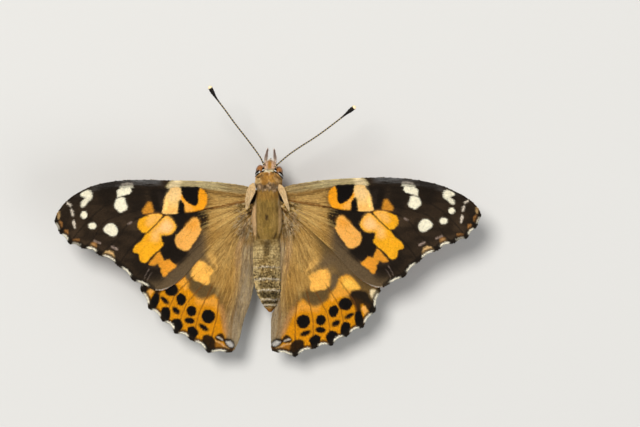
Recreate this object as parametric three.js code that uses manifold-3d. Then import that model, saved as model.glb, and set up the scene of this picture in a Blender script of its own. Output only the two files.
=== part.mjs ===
// Painted lady butterfly (Vanessa cardui), wings spread flat, standing on its four walking legs.
// Millimetres. X points to the butterfly's right, Y towards its head, Z up, and the floor is Z = 0.
import * as THREE from 'three';
import { mergeVertices } from 'three/addons/utils/BufferGeometryUtils.js';
import Module from 'manifold-3d';

const wasm = await Module();
wasm.setup();

// Driving sizes
const GAP = 0.3;                 // clearance between neighbouring pieces
const THORAX_Z = 6.5;            // height of the thorax axis above the floor
const HEAD_Z = 6.6;              // height of the head's centre
const HEAD_X = 0.26;             // the head is carried a little to the right
const HEAD_Y = 8.8;              // head centre, in front of the wing hinges
const HEAD_TURN = -5;            // degrees that the head is turned to the right
const MEMBRANE = 0.5;            // wing thickness between the veins
const VEIN_RISE = 0.16;          // how far a main vein stands above the membrane
const VEIN_FOOT = 0.32;          // half width of a vein's ridge
const CELL_SAG = 0.1;            // hollow of the membrane between two veins
const FORE_HINGE_X = 3.2;        // inner edge of the forewing
const FORE_HINGE_Z = 7.9;
const FORE_DIHEDRAL = 5;         // degrees that the forewing rises outwards
const FORE_DROOP = 0.8;          // how far its tip bends down again
const FORE_REACH = 28.7;         // plan length from hinge to tip
const HIND_HINGE = { x: 3.45, y: 2.55, z: 6.7 };
const HIND_DIHEDRAL = 3;
const HIND_SWING = { left: 0, right: 14.9 };   // degrees that each hindwing is drawn back
const TROUGH_DEPTH = 0.62;       // slope of the inner lobe down towards the abdomen
const ANTENNA_LIFT = 18;         // degrees that the feelers rise
const ANTENNA_SHAFT = 0.25;      // radius
const CLUB_RADIUS = 0.4;
const CLUB_LENGTH = 2.6;
const LEG_RADIUS = 0.3;

const COLOURS = {
  forewing: 0x2b211b,
  hindwing: 0xc47a33,
  thorax: 0x7b6a3c,
  collar: 0x9a6231,
  head: 0x9c6230,
  tegula: 0xb7a88d,
  abdomen: 0xb08a55,
  eye: 0x4a2418,
  antenna: 0x2a1d16,
  palp: 0x8d7f78,
  proboscis: 0x3a281c,
  leg: 0xa2895f,
};

const degrees = THREE.MathUtils.degToRad;
const point = (x, y, z = 0) => new THREE.Vector3(x, y, z);

// Value at y on a short list of [y, value] pairs, y rising, with smooth steps between them.
function profile(table, y) {
  if (y <= table[0][0]) return table[0][1];
  for (let i = 1; i < table.length; i++) {
    const [y1, v1] = table[i];
    const [y0, v0] = table[i - 1];
    if (y <= y1) {
      const t = (y - y0) / (y1 - y0);
      return v0 + (v1 - v0) * t * t * (3 - 2 * t);
    }
  }
  return table[table.length - 1][1];
}

// Points at equal steps along a smooth curve through a few [x, y] or [x, y, z] points.
function along(points, steps) {
  const curve = new THREE.CatmullRomCurve3(points.map((p) => point(...p)), false, 'centripetal');
  return curve.getSpacedPoints(steps);
}

// Geometry with its faces pointing out, whichever way its rings were wound.
function geometryFrom(vertices, triangles) {
  const volume = triangles.reduce((sum, [a, b, c]) =>
    sum + vertices[a].dot(vertices[b].clone().cross(vertices[c])), 0);
  const wound = volume < 0 ? triangles.map(([a, b, c]) => [a, c, b]) : triangles;
  const geometry = new THREE.BufferGeometry();
  const numbers = vertices.flatMap((v) => [v.x, v.y, v.z]);
  geometry.setAttribute('position', new THREE.Float32BufferAttribute(numbers, 3));
  geometry.setIndex(wound.flat());
  return geometry;
}

function toSolid(source) {
  const bare = source.clone();
  bare.deleteAttribute('normal');
  bare.deleteAttribute('uv');
  const merged = mergeVertices(bare, 1e-4);
  return new wasm.Manifold(new wasm.Mesh({
    numProp: 3,
    vertProperties: new Float32Array(merged.attributes.position.array),
    triVerts: new Uint32Array(merged.index.array),
  }));
}

function fromSolid(solid) {
  const bodies = solid.decompose().sort((a, b) => b.volume() - a.volume());
  const mesh = bodies[0].getMesh();
  const geometry = new THREE.BufferGeometry();
  geometry.setAttribute('position', new THREE.Float32BufferAttribute(mesh.vertProperties, 3));
  geometry.setIndex(Array.from(mesh.triVerts));
  return geometry;
}

function union(...geometries) {
  return fromSolid(geometries.map(toSolid).reduce((a, b) => a.add(b)));
}

// Closed skin over rings of equal count, with a flat or pointed cap at each end.
function skinOver(rings) {
  const sides = rings[0].length;
  const vertices = rings.flat();
  const triangles = [];
  for (let i = 0; i + 1 < rings.length; i++) {
    for (let s = 0; s < sides; s++) {
      const a = i * sides + s;
      const b = i * sides + (s + 1) % sides;
      triangles.push([a, b, b + sides], [a, b + sides, a + sides]);
    }
  }
  for (const [ring, flip] of [[0, true], [rings.length - 1, false]]) {
    const middle = rings[ring].reduce((sum, v) => sum.add(v), point(0, 0)).divideScalar(sides);
    const hub = vertices.push(middle) - 1;
    for (let s = 0; s < sides; s++) {
      const a = ring * sides + s;
      const b = ring * sides + (s + 1) % sides;
      triangles.push(flip ? [hub, b, a] : [hub, a, b]);
    }
  }
  return geometryFrom(vertices, triangles);
}

// Tube along a path. Each ring is an ellipse with half width across and half height upwards.
function tube(path, widths, heights, sides = 8, start = 0.5) {
  const rings = path.map((centre, i) => {
    const ahead = path[Math.min(i + 1, path.length - 1)];
    const behind = path[Math.max(i - 1, 0)];
    const way = ahead.clone().sub(behind).normalize();
    const up = Math.abs(way.z) > 0.97 ? point(0, 1) : point(0, 0, 1);
    const across = way.clone().cross(up).normalize();
    const rise = across.clone().cross(way).normalize();
    return Array.from({ length: sides }, (_, s) => {
      const turn = ((s + start) / sides) * 2 * Math.PI;
      return centre.clone()
        .addScaledVector(across, widths[i] * Math.cos(turn))
        .addScaledVector(rise, heights[i] * Math.sin(turn));
    });
  });
  return skinOver(rings);
}

function roundTube(path, radii, sides, start) {
  return tube(path, radii, radii, sides, start);
}

// Body part lofted along Y. Each station is [y, half width, half height, x, z of the axis].
function bodyLoft(stations, sides) {
  const rings = stations.map(([y, width, height, x, z]) =>
    Array.from({ length: sides }, (_, s) => {
      const turn = ((s + 0.5) / sides) * 2 * Math.PI;
      return point(x - width * Math.cos(turn), y, z + height * Math.sin(turn));
    }));
  return skinOver(rings);
}

function ellipsoid(centre, size, across = 14, around = 10) {
  return new THREE.SphereGeometry(1, across, around).scale(...size).translate(...centre);
}

function mirrored(geometry) {
  const copy = geometry.clone().scale(-1, 1, 1);
  const index = copy.index.array;
  for (let i = 0; i < index.length; i += 3) {
    [index[i], index[i + 1]] = [index[i + 1], index[i]];
  }
  return copy;
}

// Wing veins in plan, outwards and forwards from the body's middle, as runs of [points, rows].
// Neighbouring veins that start on one stem share that stem's runs.
const FORE_R_ROOT = [[[3.2, 5.3], [7.1, 5.85], [10.8, 6.45], [14.6, 6.8]], 4];
const FORE_R_CELL = [[[14.6, 6.8], [16.8, 6.5]], 1];
const FORE_R_STALK = [[[16.8, 6.5], [21.3, 6.3], [25.1, 5.6]], 3];
const FORE_CU_ROOT = [[[3.2, 4.5], [6.4, 3.9], [8.6, 3.5], [10.4, 3.2]], 3];
const FORE_CU_CELL = [[[10.4, 3.2], [13, 2.95], [15.4, 2.6]], 2];

const FOREWING = {
  cellRow: 5,
  cellVein: 6,
  veins: [
    [[[[3.2, 6.7], [6.3, 7.2], [10, 7.6], [14.4, 7.9]], 5], [[[14.4, 7.9], [17.3, 7.88]], 5]],
    [[[[3.2, 6.1], [7.1, 6.65], [11.6, 7.15], [15, 7.45]], 5], [[[15, 7.45], [18.4, 7.8]], 5]],
    [FORE_R_ROOT, [[[14.6, 6.8], [18.3, 7.15], [22.1, 7.4]], 6]],
    [FORE_R_ROOT, FORE_R_CELL, [[[16.8, 6.5], [21.5, 6.75], [25.8, 6.3], [28.9, 5.05]], 5]],
    [FORE_R_ROOT, FORE_R_CELL, FORE_R_STALK, [[[25.1, 5.6], [28.1, 4.75], [31.9, 2.2]], 2]],
    [FORE_R_ROOT, FORE_R_CELL, FORE_R_STALK, [[[25.1, 5.6], [28.7, 3.6], [31, 0.4]], 2]],
    [FORE_R_ROOT, FORE_R_CELL, [[[16.8, 6.5], [19, 5.6], [23.2, 4.5], [27.1, 1.8], [29.7, -1.4]], 5]],
    [FORE_CU_ROOT, FORE_CU_CELL, [[[15.4, 2.6], [18, 3.5], [21.4, 2.8], [24.9, 1.2], [27.8, -2.3]], 5]],
    [FORE_CU_ROOT, FORE_CU_CELL, [[[15.4, 2.6], [18.7, 2.2], [21.3, 0.8], [25.4, -3.3]], 5]],
    [FORE_CU_ROOT, FORE_CU_CELL, [[[15.4, 2.6], [18.5, -0.1], [20.8, -2.4], [22.6, -4.9]], 5]],
    [FORE_CU_ROOT, [[[10.4, 3.2], [13.2, 0.3], [17.2, -3.9], [20.4, -7.2]], 7]],
    [[[[3.2, 3.5], [7.9, 0.2], [12.5, -3.8], [17.6, -8.6]], 10]],
    [[[[3.2, 2.8], [6.5, -0.2], [9.5, -3.1], [11.8, -5.6], [14.9, -8.3]], 10]],
  ],
  // How far the margin dips inwards between each vein end and the next; below 0 it bulges.
  dips: [-0.02, -0.1, -0.28, -0.25, 0.05, 0.25, 0.3, 0.45, 0.35, 0.3, 0.25, -0.3],
  middles: [1, 1, 1, 1, 1, 2, 1, 1, 1, 2, 2, 1],
};

const HIND_R_STEM = [[[3.2, 2.35], [5.2, 1], [6.9, -0.2], [9.8, -2.8]], 4];
const HIND_CU_STEM = [[[3.1, 1.9], [5.3, -1.4], [6.1, -3.6]], 3];
const HIND_CU_CELL = [[[6.1, -3.6], [7.5, -6.1]], 1];

const HINDWING = {
  cellRow: 4,
  cellVein: 3,
  veins: [
    [[[[3.2, 3], [8, 2.2], [14, 0.2], [18.3, -3.3]], 10]],
    [[[[3.2, 2.7], [9, 1], [14.5, -1.6], [19.3, -5.6]], 10]],
    [HIND_R_STEM, [[[9.8, -2.8], [14.8, -6], [19.1, -8.8]], 6]],
    [HIND_R_STEM, [[[9.8, -2.8], [13, -5.5], [15.8, -7.9], [17.9, -11.4]], 6]],
    [HIND_CU_STEM, HIND_CU_CELL, [[[7.5, -6.1], [9.6, -5.9], [14, -9.3], [16.2, -13.2]], 6]],
    [HIND_CU_STEM, HIND_CU_CELL, [[[7.5, -6.1], [9.7, -7.8], [12.4, -10.8], [14, -15.1]], 6]],
    [HIND_CU_STEM, HIND_CU_CELL, [[[7.5, -6.1], [10.2, -11.4], [11.8, -16]], 6]],
    [HIND_CU_STEM, [[[6.1, -3.6], [7.3, -8.8], [9.2, -18]], 7]],
    [[[[3, 1.3], [4.3, -2.9], [5, -7.4], [5.6, -12.5], [5.9, -18.2]], 10]],
    [[[[2.9, 0.7], [2.6, -2.9], [2.7, -7.4], [3.1, -11.2], [5.2, -17.6]], 10]],
  ],
  dips: [-0.35, 0.25, 0.3, 0.3, 0.35, 0.35, 0.4, 0.4, -0.1],
  middles: [1, 1, 1, 2, 1, 1, 1, 2, 2],
};

// Where the inner lobe of a hindwing starts to slope down, and how near the body it may lie in plan.
const LOBE_EDGE = [[-17, 5.6], [-10, 4.9], [-3, 4.4], [1, 3.5]];
const BODY_LIMIT = [
  [-13.4, 0.3], [-12.4, 1], [-11.2, 2], [-9, 2.5], [-7, 2.65], [-3, 2.5], [-1.2, 2.5], [1, 2.85], [2.6, 3.1],
];

// Rows of plan points for one vein. Shared runs give the very same points to both neighbours.
function veinRow(runs) {
  return runs.flatMap(([points, rows], i) => along(points, rows).slice(i ? 1 : 0));
}

// Points across one row of a cell, from the vein in front to the vein behind.
function crossRow(front, back, middles, dip, isMargin, isCellEnd) {
  const gap = front.distanceTo(back);
  const foot = Math.min(VEIN_FOOT, 0.3 * gap);
  const footLift = VEIN_RISE * (1 - foot / VEIN_FOOT);
  const side = gap > 0 ? foot / gap : 0;
  const stops = [side];
  for (let m = 1; m <= middles; m++) stops.push(side + (1 - 2 * side) * (m / (middles + 1)));
  stops.push(1 - side);
  const normal = point(back.y - front.y, front.x - back.x).normalize();
  return stops.map((t, i) => {
    const bowl = 4 * t * (1 - t);
    const middle = i > 0 && i < stops.length - 1;
    const spot = front.clone().lerp(back, t);
    if (isMargin) spot.addScaledVector(normal, dip * bowl);
    let lift = middle ? 0 : footLift;
    if (isCellEnd) lift = VEIN_RISE;
    return { spot, lift, sag: CELL_SAG * bowl * Math.min(1, gap / 2) };
  });
}

// Wing plate: each cell between two veins is laddered from root to margin, the veins stand up as
// ridges on both faces, and both faces have the same triangles.
function wing(chart, place) {
  const lines = chart.veins.map(veinRow);
  const rows = lines[0].length;
  const seen = new Map();
  const vertices = [];
  const lifts = [];
  const vertexAt = ({ spot, lift, sag }) => {
    const key = `${spot.x.toFixed(3)},${spot.y.toFixed(3)}`;
    if (!seen.has(key)) {
      seen.set(key, vertices.length);
      vertices.push(place(spot.x, spot.y, sag));
      lifts.push(lift);
    }
    return seen.get(key);
  };
  const onVein = (spot) => ({ spot, lift: VEIN_RISE, sag: 0 });
  const triangles = [];
  const addTriangle = (a, b, c) => {
    if (a !== b && b !== c && c !== a) triangles.push([a, b, c]);
  };
  for (let cell = 0; cell + 1 < lines.length; cell++) {
    const strip = lines[cell].map((front, row) => {
      const back = lines[cell + 1][row];
      const ends = cell === chart.cellVein && row === chart.cellRow;
      const inner = crossRow(front, back, chart.middles[cell], chart.dips[cell], row === rows - 1, ends);
      return [onVein(front), ...inner, onVein(back)].map(vertexAt);
    });
    for (let row = 0; row + 1 < rows; row++) {
      for (let i = 0; i + 1 < strip[row].length; i++) {
        const [a, b] = [strip[row][i], strip[row][i + 1]];
        const [c, d] = [strip[row + 1][i + 1], strip[row + 1][i]];
        addTriangle(a, b, c);
        addTriangle(a, c, d);
      }
    }
  }
  return thicken(vertices, triangles, lifts);
}

// Both faces of a thin sheet, set off from it along its normals, and its edge closed.
function thicken(vertices, triangles, lifts) {
  const normals = vertices.map(() => point(0, 0));
  const edges = new Map();
  for (const [a, b, c] of triangles) {
    const face = vertices[b].clone().sub(vertices[a]).cross(vertices[c].clone().sub(vertices[a]));
    for (const v of [a, b, c]) normals[v].add(face);
    for (const [p, q] of [[a, b], [b, c], [c, a]]) edges.set(`${p},${q}`, [p, q]);
  }
  const count = vertices.length;
  const shell = [];
  for (const sign of [-1, 1]) {
    vertices.forEach((v, i) => {
      const half = MEMBRANE / 2 + lifts[i];
      shell.push(v.clone().addScaledVector(normals[i].clone().normalize(), sign * half));
    });
  }
  const faces = triangles.flatMap(([a, b, c]) => [[c, b, a], [a + count, b + count, c + count]]);
  for (const [p, q] of edges.values()) {
    if (!edges.has(`${q},${p}`)) faces.push([p, q, q + count], [p, q + count, p + count]);
  }
  return geometryFrom(shell, faces);
}

function placeForewing(x, y, sag) {
  const out = x - FORE_HINGE_X;
  const rise = out * Math.tan(degrees(FORE_DIHEDRAL)) - FORE_DROOP * (out / FORE_REACH) ** 2;
  return point(x, y, FORE_HINGE_Z + rise - sag);
}

// The hindwing swings back about its hinge, and what would reach the body folds down beside it.
function placeHindwing(swing) {
  return (x, y, sag) => {
    const trough = TROUGH_DEPTH * Math.max(0, profile(LOBE_EDGE, y) - x);
    const turned = point(x - HIND_HINGE.x, y - HIND_HINGE.y).applyAxisAngle(point(0, 0, 1), -degrees(swing));
    const out = Math.max(0, turned.x);
    const height = HIND_HINGE.z + out * Math.tan(degrees(HIND_DIHEDRAL)) - sag - trough;
    turned.add(point(HIND_HINGE.x, HIND_HINGE.y));
    const fold = Math.max(0, profile(BODY_LIMIT, turned.y) - turned.x);
    return point(turned.x + fold, turned.y, height - fold);
  };
}

const model = new THREE.Group();

function add(name, geometry, colour, roughness = 0.75, metalness = 0) {
  const material = new THREE.MeshStandardMaterial({ color: colour, roughness, metalness });
  const mesh = new THREE.Mesh(geometry, material);
  mesh.name = name;
  model.add(mesh);
  return mesh;
}

function addPair(name, geometry, colour, roughness) {
  add(`${name}_right`, geometry, colour, roughness);
  add(`${name}_left`, mirrored(geometry), colour, roughness);
}

// Wings
addPair('forewing', wing(FOREWING, placeForewing), COLOURS.forewing);
add('hindwing_right', wing(HINDWING, placeHindwing(HIND_SWING.right)), COLOURS.hindwing);
add('hindwing_left', mirrored(wing(HINDWING, placeHindwing(HIND_SWING.left))), COLOURS.hindwing);

// Legs: where each leaves the thorax, its knee, its ankle and the end of its foot.
const LEGS = {
  midleg: { coxa: [1.75, 2.7, 4.25], knee: [5.3, 4.5, 5.1], ankle: [7.9, 5.5, 0.85], toe: [11.4, 6.5] },
  hindleg: { coxa: [1.75, -0.1, 4.25], knee: [4.9, -2.6, 4.9], ankle: [7.2, -5.5, 0.85], toe: [9.5, -8.5] },
};

// A straight leg length from one joint to the next, short of each by half a gap.
function limb(from, to, startRadius, middleRadius, endRadius) {
  const way = to.clone().sub(from).normalize();
  const start = from.clone().addScaledVector(way, GAP / 2);
  const end = to.clone().addScaledVector(way, -GAP / 2 - endRadius * 0.4);
  const path = [0, 0.3, 0.7, 1].map((t) => start.clone().lerp(end, t));
  return roundTube(path, [startRadius, middleRadius, middleRadius, endRadius], 8);
}

// The foot lies flat on the floor on one facet.
function foot(ankle, toe) {
  const flat = Math.cos(Math.PI / 8);
  const radii = [0.9, 1, 0.9, 0.7].map((share) => share * LEG_RADIUS);
  const path = radii.map((radius, i) => {
    const spot = point(ankle.x, ankle.y).lerp(point(...toe), 0.03 + (0.97 * i) / 3);
    return spot.setZ(radius * flat);
  });
  return roundTube(path, radii, 8);
}

for (const [name, leg] of Object.entries(LEGS)) {
  const [coxa, knee, ankle] = [leg.coxa, leg.knee, leg.ankle].map((p) => point(...p));
  addPair(`${name}_femur`, limb(coxa, knee, 0.3, 0.36, 0.28), COLOURS.leg);
  addPair(`${name}_tibia`, limb(knee, ankle, 0.27, 0.28, 0.25), COLOURS.leg);
  addPair(`${name}_tarsus`, foot(ankle, leg.toe), COLOURS.leg);
}

// The small front legs are folded forwards under the head.
const FORELEG = [[0.95, 6.2, 4.45], [1.2, 7.2, 3.95], [1.3, 8.3, 3.9], [1.2, 9.3, 4.3]];
addPair('foreleg', roundTube(along(FORELEG, 5), [0.28, 0.32, 0.3, 0.3, 0.28, 0.15], 8), COLOURS.leg);

// Thorax, with the sockets of the wings and legs
const THORAX = [
  [-1.1, 1.35, 1.5], [-0.6, 1.8, 1.95], [0.2, 2.2, 2.35], [1.2, 2.4, 2.6], [2.4, 2.45, 2.72],
  [3.6, 2.38, 2.72], [4.6, 2.15, 2.5], [5.3, 1.85, 2.15], [5.75, 1.45, 1.7],
];
const thoraxBody = bodyLoft(THORAX.map(([y, w, h]) => [y, w, h, 0, THORAX_Z]), 20);
const sockets = [];
for (const side of [-1, 1]) {
  sockets.push(ellipsoid([side * 2, 4.8, FORE_HINGE_Z - 0.15], [0.9, 1.5, 0.5]));
  sockets.push(ellipsoid([side * 2.05, 1.9, HIND_HINGE.z - 0.1], [0.7, 1, 0.45]));
  for (const leg of Object.values(LEGS)) {
    const [x, y, z] = leg.coxa;
    const hip = point(side * (x - 0.9), y - 0.1, z + 0.9);
    const end = point(side * x, y, z);
    sockets.push(roundTube([hip, hip.clone().lerp(end, 0.5), end], [0.5, 0.45, 0.36], 8));
  }
}
add('thorax', union(thoraxBody, ...sockets), COLOURS.thorax);

// Collar plates between thorax and head
const COLLAR = [
  [6.05, 1.45, 1.55, 0.04], [6.35, 1.75, 1.75, 0.07], [6.9, 1.75, 1.7, 0.12], [7.25, 1.5, 1.5, 0.14],
  [7.45, 1.15, 1.2, 0.16],
];
add('prothorax', bodyLoft(COLLAR.map(([y, w, h, x]) => [y, w, h, x, HEAD_Z]), 18), COLOURS.collar);

// Tegulae: the plates that cover the roots of the forewings
const TEGULA = [[1.75, 6.45, 8.65], [2.6, 5.95, 8.85], [3, 4.9, 8.95], [2.95, 3.8, 8.9], [2.65, 3, 8.8]];
const TEGULA_WIDTHS = [0.25, 0.5, 0.66, 0.72, 0.66, 0.5, 0.22];
addPair('tegula', tube(along(TEGULA, 6), TEGULA_WIDTHS, TEGULA_WIDTHS.map((w) => 0.16 + 0.2 * w), 8),
  COLOURS.tegula);

// Abdomen: a tapering loft, drawn in a little at each joint between its rings
const ABDOMEN_WIDTH = [
  [-12.15, 0.45], [-11.25, 1.05], [-10.5, 1.45], [-9, 1.88], [-7.5, 2], [-5.2, 1.92], [-3, 1.85], [-1.4, 1.4],
];
const ABDOMEN_RINGS = [-1.4, -2.9, -4.3, -5.5, -7.1, -8.8, -10.2, -11.2, -12.15];
const abdomenStations = [];
ABDOMEN_RINGS.slice(1).forEach((end, i) => {
  const start = ABDOMEN_RINGS[i];
  const last = i === ABDOMEN_RINGS.length - 2;
  for (const share of last ? [0.05, 0.4, 0.75, 1] : [0.05, 0.4, 0.85]) {
    const y = start + (end - start) * share;
    const groove = share === 0.05 && i > 0 ? 0.95 : 1;
    const width = profile(ABDOMEN_WIDTH, y) * groove;
    const bend = 0.2 * ((y + 1.4) / 10.75) ** 2;
    abdomenStations.push([y, width, width * 0.97, bend, 6.25 - 0.09 * (-1.4 - y)]);
  }
});
add('abdomen', bodyLoft(abdomenStations.reverse(), 18), COLOURS.abdomen);

// Head, eyes, palps, proboscis and feelers share a group that is turned a little to the right.
const head = new THREE.Group();
head.position.set(HEAD_X, HEAD_Y, HEAD_Z);
head.rotation.z = degrees(HEAD_TURN);
model.add(head);
const intoHead = (mesh) => head.add(mesh);

const HEAD = [
  [-1, 0.95, 1.05], [-0.7, 1.45, 1.5], [-0.1, 1.7, 1.72], [0.6, 1.65, 1.68], [1.2, 1.4, 1.4], [1.6, 1, 1],
  [1.75, 0.6, 0.6],
];
const EYE = { at: [1.42, 0.05, 0.1], size: [0.66, 0.97, 1.2] };
let skull = toSolid(bodyLoft(HEAD.map(([y, w, h]) => [y, w, h, 0, 0]), 18));
for (const side of [-1, 1]) {
  const [x, y, z] = EYE.at;
  skull = skull.subtract(toSolid(ellipsoid([side * x, y, z], EYE.size.map((s) => s + GAP))));
}
intoHead(add('head', fromSolid(skull), COLOURS.head));

for (const [side, sign] of [['right', 1], ['left', -1]]) {
  const [x, y, z] = EYE.at;
  intoHead(add(`eye_${side}`, ellipsoid([sign * x, y, z], EYE.size, 20, 14), COLOURS.eye, 0.3));
}

const PALP = [[0.85, 1.35, -1.5], [0.85, 2.1, -1.1], [0.7, 2.8, -0.3], [0.52, 3.4, 0.5]];
for (const [side, sign] of [['right', 1], ['left', -1]]) {
  const path = along(PALP.map(([x, y, z]) => [sign * x, y, z]), 5);
  intoHead(add(`palp_${side}`, roundTube(path, [0.28, 0.36, 0.38, 0.34, 0.27, 0.12], 8), COLOURS.palp));
}

// Coiled proboscis between the palps
const COIL = { y: 2.3, z: -2.1, inner: 0.15, outer: 0.95, turns: 1.15, radius: 0.24 };
const coil = Array.from({ length: 19 }, (_, i) => {
  const t = i / 18;
  const turn = degrees(150) + t * COIL.turns * 2 * Math.PI;
  const reach = COIL.outer + (COIL.inner - COIL.outer) * t;
  return point(0, COIL.y + reach * Math.cos(turn), COIL.z + reach * Math.sin(turn));
});
const coilRings = coil.map((centre, i) => {
  const way = coil[Math.min(i + 1, 18)].clone().sub(coil[Math.max(i - 1, 0)]).normalize();
  const side = point(1, 0);
  const rise = side.clone().cross(way);
  return Array.from({ length: 8 }, (_, s) => {
    const turn = (s / 8) * 2 * Math.PI;
    return centre.clone()
      .addScaledVector(side, COIL.radius * Math.cos(turn))
      .addScaledVector(rise, COIL.radius * Math.sin(turn));
  });
});
intoHead(add('proboscis', skinOver(coilRings), COLOURS.proboscis));

// Feelers, in plan from the body's middle
const ANTENNAE = {
  right: [[1.2, 9.75], [2.6, 10.75], [5.3, 12.35], [9.6, 15.6], [13, 17.9]],
  left: [[-0.75, 9.95], [-1.8, 11.7], [-4.6, 15.4], [-7.1, 19.5], [-8.1, 21.3]],
};
for (const [side, plan] of Object.entries(ANTENNAE)) {
  const [x0, y0] = plan[0];
  const raised = plan.map(([x, y]) => {
    const run = Math.hypot(x - x0, y - y0);
    return [x, y, HEAD_Z + 1.75 + run * Math.tan(degrees(ANTENNA_LIFT))];
  });
  const path = along(raised, 14);
  const length = path[0].distanceTo(path[14]);
  const radii = path.map((_, i) => {
    const left = length * (1 - i / 14);
    if (i === 14) return 0.2;
    return left < CLUB_LENGTH ? CLUB_RADIUS : ANTENNA_SHAFT;
  });
  add(`antenna_${side}`, roundTube(path, radii, 8), COLOURS.antenna);
}

// The origin is at the middle of the bottom of the whole model's box.
model.updateMatrixWorld(true);
const box = new THREE.Box3().setFromObject(model, true);
model.position.set(-(box.min.x + box.max.x) / 2, -(box.min.y + box.max.y) / 2, -box.min.z);

export default model;
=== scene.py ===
# Painted lady butterfly (Vanessa cardui), wings spread flat, seen straight from above.
# The model is worked out in millimetres in the butterfly's own frame: X to its right, Y towards
# its head, Z up from the floor, with Y = 0 between the wing hinges and the abdomen.
import math

import bpy
import numpy as np
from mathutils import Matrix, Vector
from mathutils.geometry import delaunay_2d_cdt


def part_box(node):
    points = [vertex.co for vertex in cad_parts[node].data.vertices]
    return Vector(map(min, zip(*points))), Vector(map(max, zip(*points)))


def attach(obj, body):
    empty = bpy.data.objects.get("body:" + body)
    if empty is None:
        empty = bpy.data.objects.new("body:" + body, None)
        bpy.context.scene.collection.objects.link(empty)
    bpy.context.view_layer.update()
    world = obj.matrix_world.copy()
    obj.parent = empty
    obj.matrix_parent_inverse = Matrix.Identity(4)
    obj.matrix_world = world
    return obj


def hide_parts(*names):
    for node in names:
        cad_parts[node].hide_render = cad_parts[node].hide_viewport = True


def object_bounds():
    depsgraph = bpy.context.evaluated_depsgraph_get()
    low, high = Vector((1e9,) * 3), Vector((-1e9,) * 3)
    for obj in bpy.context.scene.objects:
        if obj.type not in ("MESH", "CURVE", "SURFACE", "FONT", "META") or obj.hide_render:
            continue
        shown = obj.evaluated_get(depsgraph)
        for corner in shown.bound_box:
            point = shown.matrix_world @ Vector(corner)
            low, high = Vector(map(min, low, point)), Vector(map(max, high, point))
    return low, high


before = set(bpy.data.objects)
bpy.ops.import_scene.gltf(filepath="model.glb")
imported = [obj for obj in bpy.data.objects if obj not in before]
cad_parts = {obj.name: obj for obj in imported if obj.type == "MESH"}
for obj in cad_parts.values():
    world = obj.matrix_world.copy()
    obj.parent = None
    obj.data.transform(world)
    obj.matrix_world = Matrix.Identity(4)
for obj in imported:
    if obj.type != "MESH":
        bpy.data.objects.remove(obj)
cad_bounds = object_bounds()

# Places shared with the solids, in millimetres
HEAD_X = 0.26
HEAD_Y = 8.8
HEAD_Z = 6.6
HEAD_TURN = math.radians(-5)
EYE_AT = (1.42, 0.05, 0.1)
EYE_SIZE = (0.66, 0.97, 1.2)
THORAX_Z = 6.5
FORE_HINGE_X = 3.2
FORE_HINGE_Z = 7.9
FORE_DIHEDRAL = math.radians(5)
FORE_DROOP = 0.8
FORE_REACH = 28.7
HIND_HINGE = np.array([3.45, 2.55])
HIND_HINGE_Z = 6.7
HIND_DIHEDRAL = math.radians(3)
HIND_SWING = {"left": 0.0, "right": math.radians(14.9)}
TROUGH_DEPTH = 0.62
# The hindwing's crest beside the body, and the body's sides, as pairs of Y and distance from the middle
LOBE_EDGE = [(-17, 5.6), (-10, 4.9), (-3, 4.4), (1, 3.5)]
BODY_LIMIT = [(-13.9, 0.2), (-12.8, 0.35), (-12.1, 0.75), (-11.3, 1.25), (-10.4, 1.66), (-9, 2.0),
              (-7, 2.12), (-3, 2.05), (-1.2, 1.85), (1, 2.1), (2.6, 2.2)]
# How far to the right the body's middle lies, from its rear to its front
BODY_AXIS = [(-12.5, 0.05), (-9, -0.14), (-5.2, -0.34), (-3, -0.36), (-1, -0.26), (1, -0.2), (5, 0)]
SIDES = {"left": -1, "right": 1}

# The photo's scale and the butterfly's place in it, for marks that are given in its pixels
PHOTO_AXIS_X = 268.0
PHOTO_ZERO_Y = 230.0
PHOTO_TURN = math.radians(1.2)
MM_PER_PX = 0.15

# Fineness of the meshes, half the membrane's thickness, and the step by which a surface is felt out
MEMBRANE_STEP = 0.14
MEMBRANE_HALF = 0.045
SCALE_STEP = {"top": 0.15, "under": 0.2}
PROBE = 0.05
# Seeds of the random draws
SEEDS = {"body": 61, "palp": 81, "tegula": 91, "leg": 101, "foreleg": 111,
         "scales": 201, "wing hair": 211, "fringe": 221}


def head_point(x, y, z):
    """A point of the head's own frame, in the butterfly's."""
    turn = np.array([[math.cos(HEAD_TURN), -math.sin(HEAD_TURN)], [math.sin(HEAD_TURN), math.cos(HEAD_TURN)]])
    px, py = turn @ np.array([x, y])
    return np.array([HEAD_X + px, HEAD_Y + py, HEAD_Z + z])


# The frame's origin is the middle of the solids' box, so the eyes say where the butterfly is in it.
eye_boxes = [np.mean(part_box(f"eye_{side}"), axis=0) * 1000 for side in SIDES]
SHIFT = np.mean(eye_boxes, axis=0) - head_point(0, EYE_AT[1], EYE_AT[2])


# Colours, as they look in daylight
def daylight(red, green, blue):
    """A screen colour as the linear values that the shaders use."""
    share = np.array([red, green, blue]) / 255
    return np.where(share <= 0.04045, share / 12.92, ((share + 0.055) / 1.055) ** 2.4)


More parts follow.
